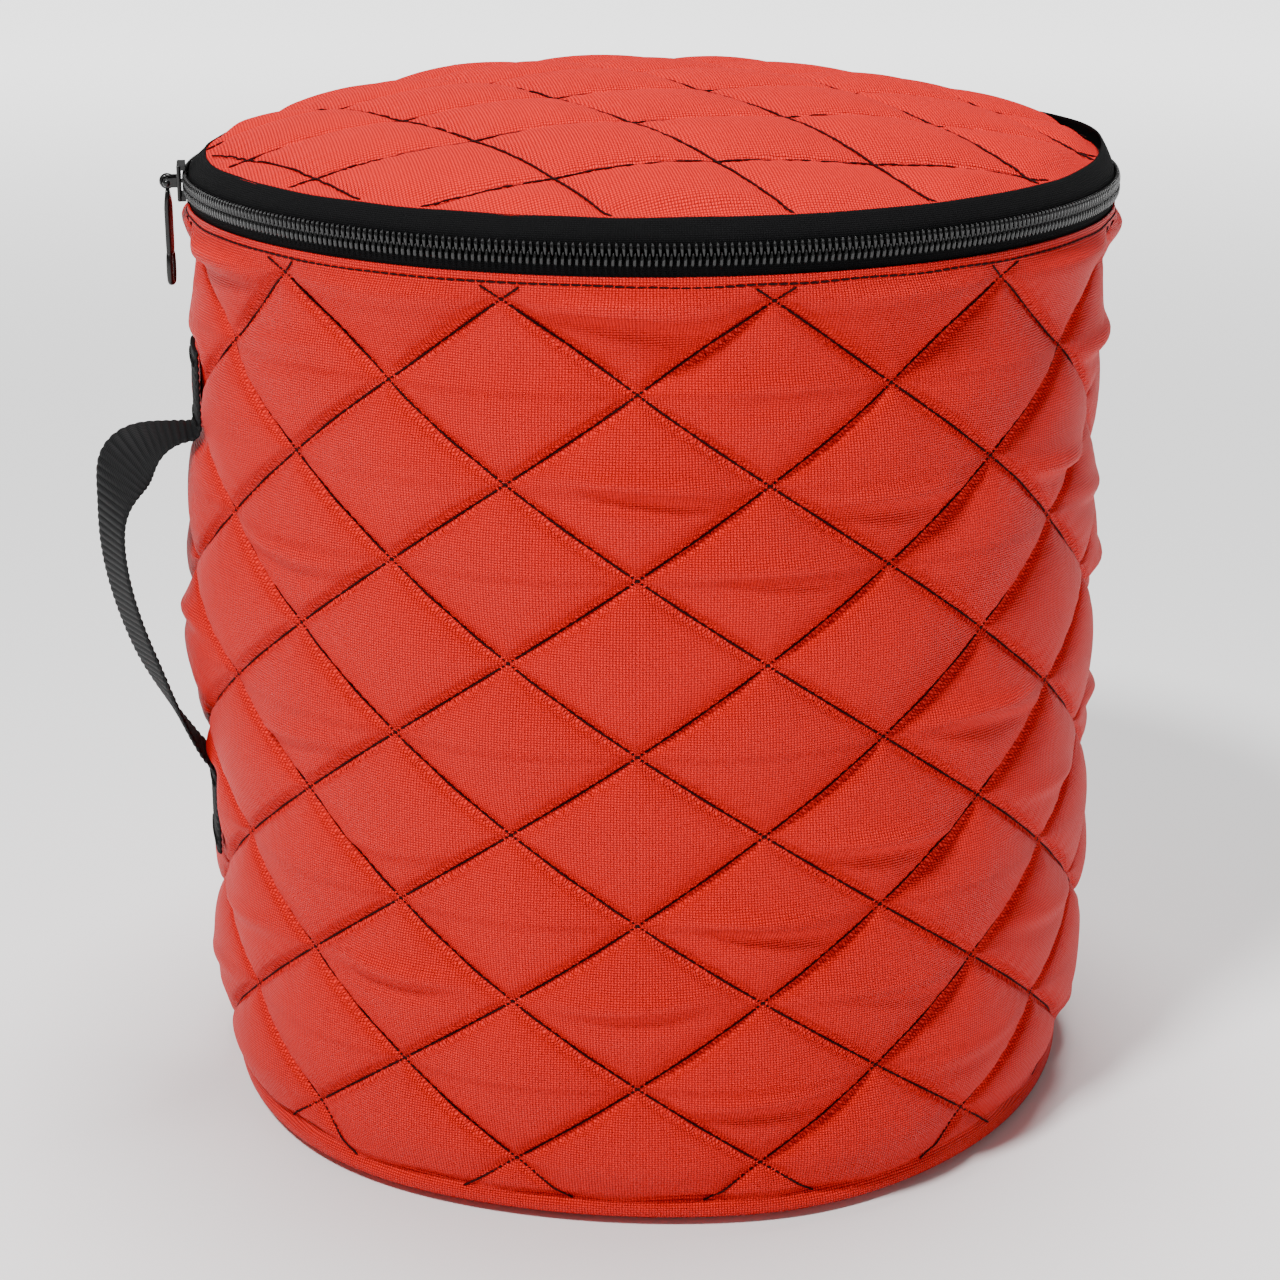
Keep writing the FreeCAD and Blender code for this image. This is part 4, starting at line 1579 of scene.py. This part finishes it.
        # On the drum a wide strap bends with the wall.
        flat = smooth_step(line[:, 0], 146 * MM, 143 * MM)[:, None]
        hug = -(t * self.width / 2) ** 2 / (2 * 142 * MM) * flat
        points = (centre[:, None, :] + (wide * t)[..., None] * across[:, None, :]
                  + (thick + hug)[..., None] * normal[:, None, :])
        rows, columns = points.shape[:2]
        quads = grid_quads(rows, columns, False, True)
        ends = []
        for first in (0, (rows - 1) * columns):
            for k in range(columns // 2 - 1):
                cap = [first + k, first + k + 1, first + columns - 2 - k, first + columns - 1 - k]
                ends.append(cap if first == 0 else cap[::-1])
        t_run = np.concatenate([[0.0], np.cumsum(np.abs(np.diff(t)))])
        t_run = np.append(t_run, t_run[-1] + 0.01) * self.width / 2
        uv = grid_uv(run[:, None] + 0 * t_run, t_run + 0 * run[:, None])
        faces, face_uv = np.concatenate([quads, np.array(ends)]), np.concatenate([uv, np.zeros((len(ends), 4, 2))])
        return new_piece(name, points.reshape(-1, 3), faces, finishes["webbing"], face_uv)

    def tack(self, finishes: Finishes) -> None:
        """Rows of close stitches that hold the two tails to the wall.

        Args:
            finishes: The bag's materials.
        """
        shape, quads = bead(1.9 * MM, 0.5 * MM, 0.5 * MM)
        share = np.arange(self.tack_stitches) / (self.tack_stitches - 1) - 0.5
        turn, z = np.meshgrid(share * (self.width - 3 * MM) / self.tack_r, np.array(self.tack_rows))
        centre = on_drum(self.at + turn.ravel(), self.tack_r, z.ravel())
        out = unit(centre * [1.0, 1.0, 0.0])
        up = np.zeros_like(out) + [0.0, 0.0, 1.0]
        piece = stamped("handle_bar_tacks", shape, quads, centre, np.stack([up, np.cross(out, up), out], 1),
                        finishes["black_thread"])
        place(piece, "drum", "webbing_thread", "handle_tacks")


# ------------------------------------------------------------------------------------------------
# Hardware and setting
# ------------------------------------------------------------------------------------------------
@dataclass
class Hardware:
    """CAD nodes that are shown as they are, each with its finish."""
    finish_of: dict[str, str] = field(default_factory=lambda: {
        "slider_body": "zip_enamel", "slider_crown": "zip_enamel",
        "zip_stops_lower": "zip_enamel", "zip_stops_upper": "zip_enamel",
        "wall_seam_binding": "binding", "base_seam_binding": "binding",
        "lid_binding": "binding"})

    def dress(self, finishes: Finishes) -> None:
        """Give each node its finish.

        Args:
            finishes: The bag's materials.
        """
        for name, finish in self.finish_of.items():
            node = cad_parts[name]
            node.data.materials.clear()
            node.data.materials.append(finishes[finish])
            log.info("%s: %s", name, finish)


@dataclass
class PullTab:
    """Pull tab of the slider: an eye round the crown's bar, a flat blade and a long slot at its end."""
    at: float = math.radians(-82.0)
    hinge_r: float = 147.4
    hinge_z: float = 288.4
    turn: float = math.radians(13.0)
    length: float = 32.0
    width: float = 6.0
    thickness: float = 2.0

    def loop(self, path: np.ndarray, wide: float, deep: float,
             sides: int = 10) -> tuple[np.ndarray, np.ndarray]:
        """Bar of oval section along a closed path that lies in the plane where the third coordinate is 0.

        Args:
            path: Points of shape (n, 3).
            wide: Size of the section in the path's plane.
            deep: Size across the plane.
            sides: Points round the section.

        Returns:
            Points and four-sided faces.
        """
        ahead = unit(np.roll(path, -1, 0) - np.roll(path, 1, 0))
        aside = np.cross(ahead, [0.0, 0.0, 1.0])
        turn = np.arange(sides) * 2 * math.pi / sides
        points = (path[:, None] + 0.5 * wide * np.cos(turn)[None, :, None] * aside[:, None]
                  + 0.5 * deep * np.sin(turn)[None, :, None] * np.array([0.0, 0.0, 1.0]))
        return points.reshape(-1, 3), grid_quads(len(path), sides, True, True)

    def block(self, low: float, high: float, wide: float, deep: float) -> tuple[np.ndarray, np.ndarray]:
        """Flat bar with rounded edges, a superquadric: |x / a|^n + |y / b|^n + |z / c|^n = 1.

        Args:
            low: Lower end along y.
            high: Upper end along y.
            wide: Size along x.
            deep: Size along z.

        Returns:
            Points and four-sided faces.
        """
        up, round_turn = np.meshgrid(np.linspace(-1.5, 1.5, 16), np.arange(20) * 2 * math.pi / 20,
                                     indexing="ij")

        def squared(value: np.ndarray) -> np.ndarray:
            """Signed power sign(v) |v|^0.35."""
            return np.sign(value) * np.abs(value) ** 0.35
        x = wide / 2 * squared(np.cos(up)) * squared(np.cos(round_turn))
        z = deep / 2 * squared(np.cos(up)) * squared(np.sin(round_turn))
        y = (low + high) / 2 + (high - low) / 2 * squared(np.sin(up))
        return np.stack([x, y, z], -1).reshape(-1, 3), grid_quads(16, 20, False, True)

    def build(self, finishes: Finishes) -> None:
        """Make the tab and hang it on the crown.

        Args:
            finishes: The bag's materials.
        """
        turn = np.arange(28) * 2 * math.pi / 28
        slot_mid, slot_tall = -self.length + 5.8, 9.4
        squarish = np.sign(np.cos(turn)) * np.abs(np.cos(turn)) ** 0.6
        upright = np.sign(np.sin(turn)) * np.abs(np.sin(turn)) ** 0.8
        bar = 1.7
        slot_path = np.stack([(self.width - bar) / 2 * squarish, slot_mid + slot_tall / 2 * upright, 0 * turn], -1)
        slot = self.loop(slot_path, bar, self.thickness)
        blade = self.block(slot_mid + slot_tall / 2 - 1.5, -2.2, self.width - 0.6, self.thickness * 0.85)
        eye_path = np.stack([1.75 * np.cos(turn), 1.75 * np.sin(turn), 0 * turn], -1)
        eye = self.loop(eye_path, 1.3, 3.6)
        eye = (eye[0][:, [2, 1, 0]], eye[1][:, ::-1])
        points, quads, count = [], [], 0
        for part_points, part_quads in (slot, blade, eye):
            points.append(part_points)
            quads.append(part_quads + count)
            count += len(part_points)
        local = np.concatenate(points) * MM
        out = np.array([math.sin(self.at), -math.cos(self.at), 0.0])
        side = np.array([-out[1], out[0], 0.0])
        share = smooth_step(local[:, 1], -2.0 * MM, -8.0 * MM) * self.turn
        x = local[:, 0] * np.cos(share) - local[:, 2] * np.sin(share)
        z = local[:, 0] * np.sin(share) + local[:, 2] * np.cos(share)
        placed = (out * self.hinge_r * MM + np.array([0.0, 0.0, self.hinge_z * MM]) + x[:, None] * side
                  + local[:, 1:2] * np.array([0.0, 0.0, 1.0]) + z[:, None] * out)
        piece = new_piece("tab_of_pull", placed, np.concatenate(quads), finishes["zip_enamel"])
        place(piece, "pull", "pull_enamel", "pull_tab")


@dataclass
class Studio:
    """Pale floor, soft lights and the camera."""
    floor_half: float = 4.0
    camera_at: tuple[float, float, float] = (-0.0034, -0.8875, 0.4273)
    camera_down: float = math.radians(18.17)
    lens: float = 80.9

    def build(self) -> None:
        """Place the floor, the lights, the world and the camera."""
        half = self.floor_half
        corners = np.array([[-half, -half, -0.0005], [half, -half, -0.0005], [half, half, -0.0005],
                            [-half, half, -0.0005]])
        material = bpy.data.materials.new("floor_paper")
        material.use_nodes = True
        paper = material.node_tree.nodes["Principled BSDF"]
        paper.inputs["Base Color"].default_value = (0.92, 0.92, 0.92, 1.0)
        paper.inputs["Roughness"].default_value = 0.9
        paper.inputs["Specular IOR Level"].default_value = 0.1
        graph = Graph(material.node_tree)
        # Painted light: the floor paper glows, more strongly away from the bag, which brightens the far floor and
        # lights the bag from low down.
        away = graph.node("ShaderNodeVectorMath", operation="LENGTH")
        graph.feed(away.inputs[0], graph.node("ShaderNodeTexCoord").outputs["Object"])
        glow = graph.node("ShaderNodeMapRange", interpolation_type="SMOOTHSTEP")
        graph.feed(glow.inputs["Value"], away.outputs["Value"])
        glow.inputs["From Min"].default_value = 0.5
        glow.inputs["From Max"].default_value = 3.0
        graph.feed(paper.inputs["Emission Color"], glow.outputs["Result"])
        paper.inputs["Emission Strength"].default_value = 2.2
        floor = new_piece("floor", corners, np.array([[0, 1, 2, 3]]), material)
        lamps = (("key", (-0.8, -1.2, 2.1), 0.4, 72.0), ("fill", (1.5, -1.6, 0.9), 1.4, 3.0),
                 ("top", (0.1, 0.3, 2.3), 1.0, 56.0))
        for name, at, size, power in lamps:
            lamp = bpy.data.lights.new(name, "AREA")
            lamp.shape, lamp.size, lamp.energy = "DISK", size, power
            light = bpy.data.objects.new(name, lamp)
            light.location = at
            aim = np.array([0.0, 0.0, 0.15]) - np.array(at)
            light.rotation_euler = (math.acos(-aim[2] / float(np.linalg.norm(aim))), 0.0,
                                    math.atan2(aim[1], aim[0]) - math.pi / 2)
            bpy.context.scene.collection.objects.link(light)
        world = bpy.data.worlds.new("studio")
        world.use_nodes = True
        sky = world.node_tree.nodes["Background"]
        sky.inputs["Color"].default_value = (1.0, 1.0, 1.0, 1.0)
        sky.inputs["Strength"].default_value = 0.2
        bpy.context.scene.world = world
        camera = bpy.data.objects.new("camera", bpy.data.cameras.new("camera"))
        camera.data.lens = self.lens
        camera.data.sensor_width = 36.0
        camera.location = self.camera_at
        camera.rotation_euler = (math.pi / 2 - self.camera_down, 0.0, 0.0)
        bpy.context.scene.collection.objects.link(camera)
        bpy.context.scene.camera = camera


def main() -> None:
    """Build the bag, piece by piece."""
    logging.basicConfig(level=logging.INFO, format="%(name)s %(message)s")
    finishes = Finishes().build()
    Hardware().dress(finishes)
    Base().build(finishes)
    Wall().build(finishes)
    ZipFastener().build(finishes)
    Lid().build(finishes)
    Handle().build(finishes)
    PullTab().build(finishes)
    Studio().build()
    bpy.context.view_layer.update()


if __name__ == "__main__":
    main()
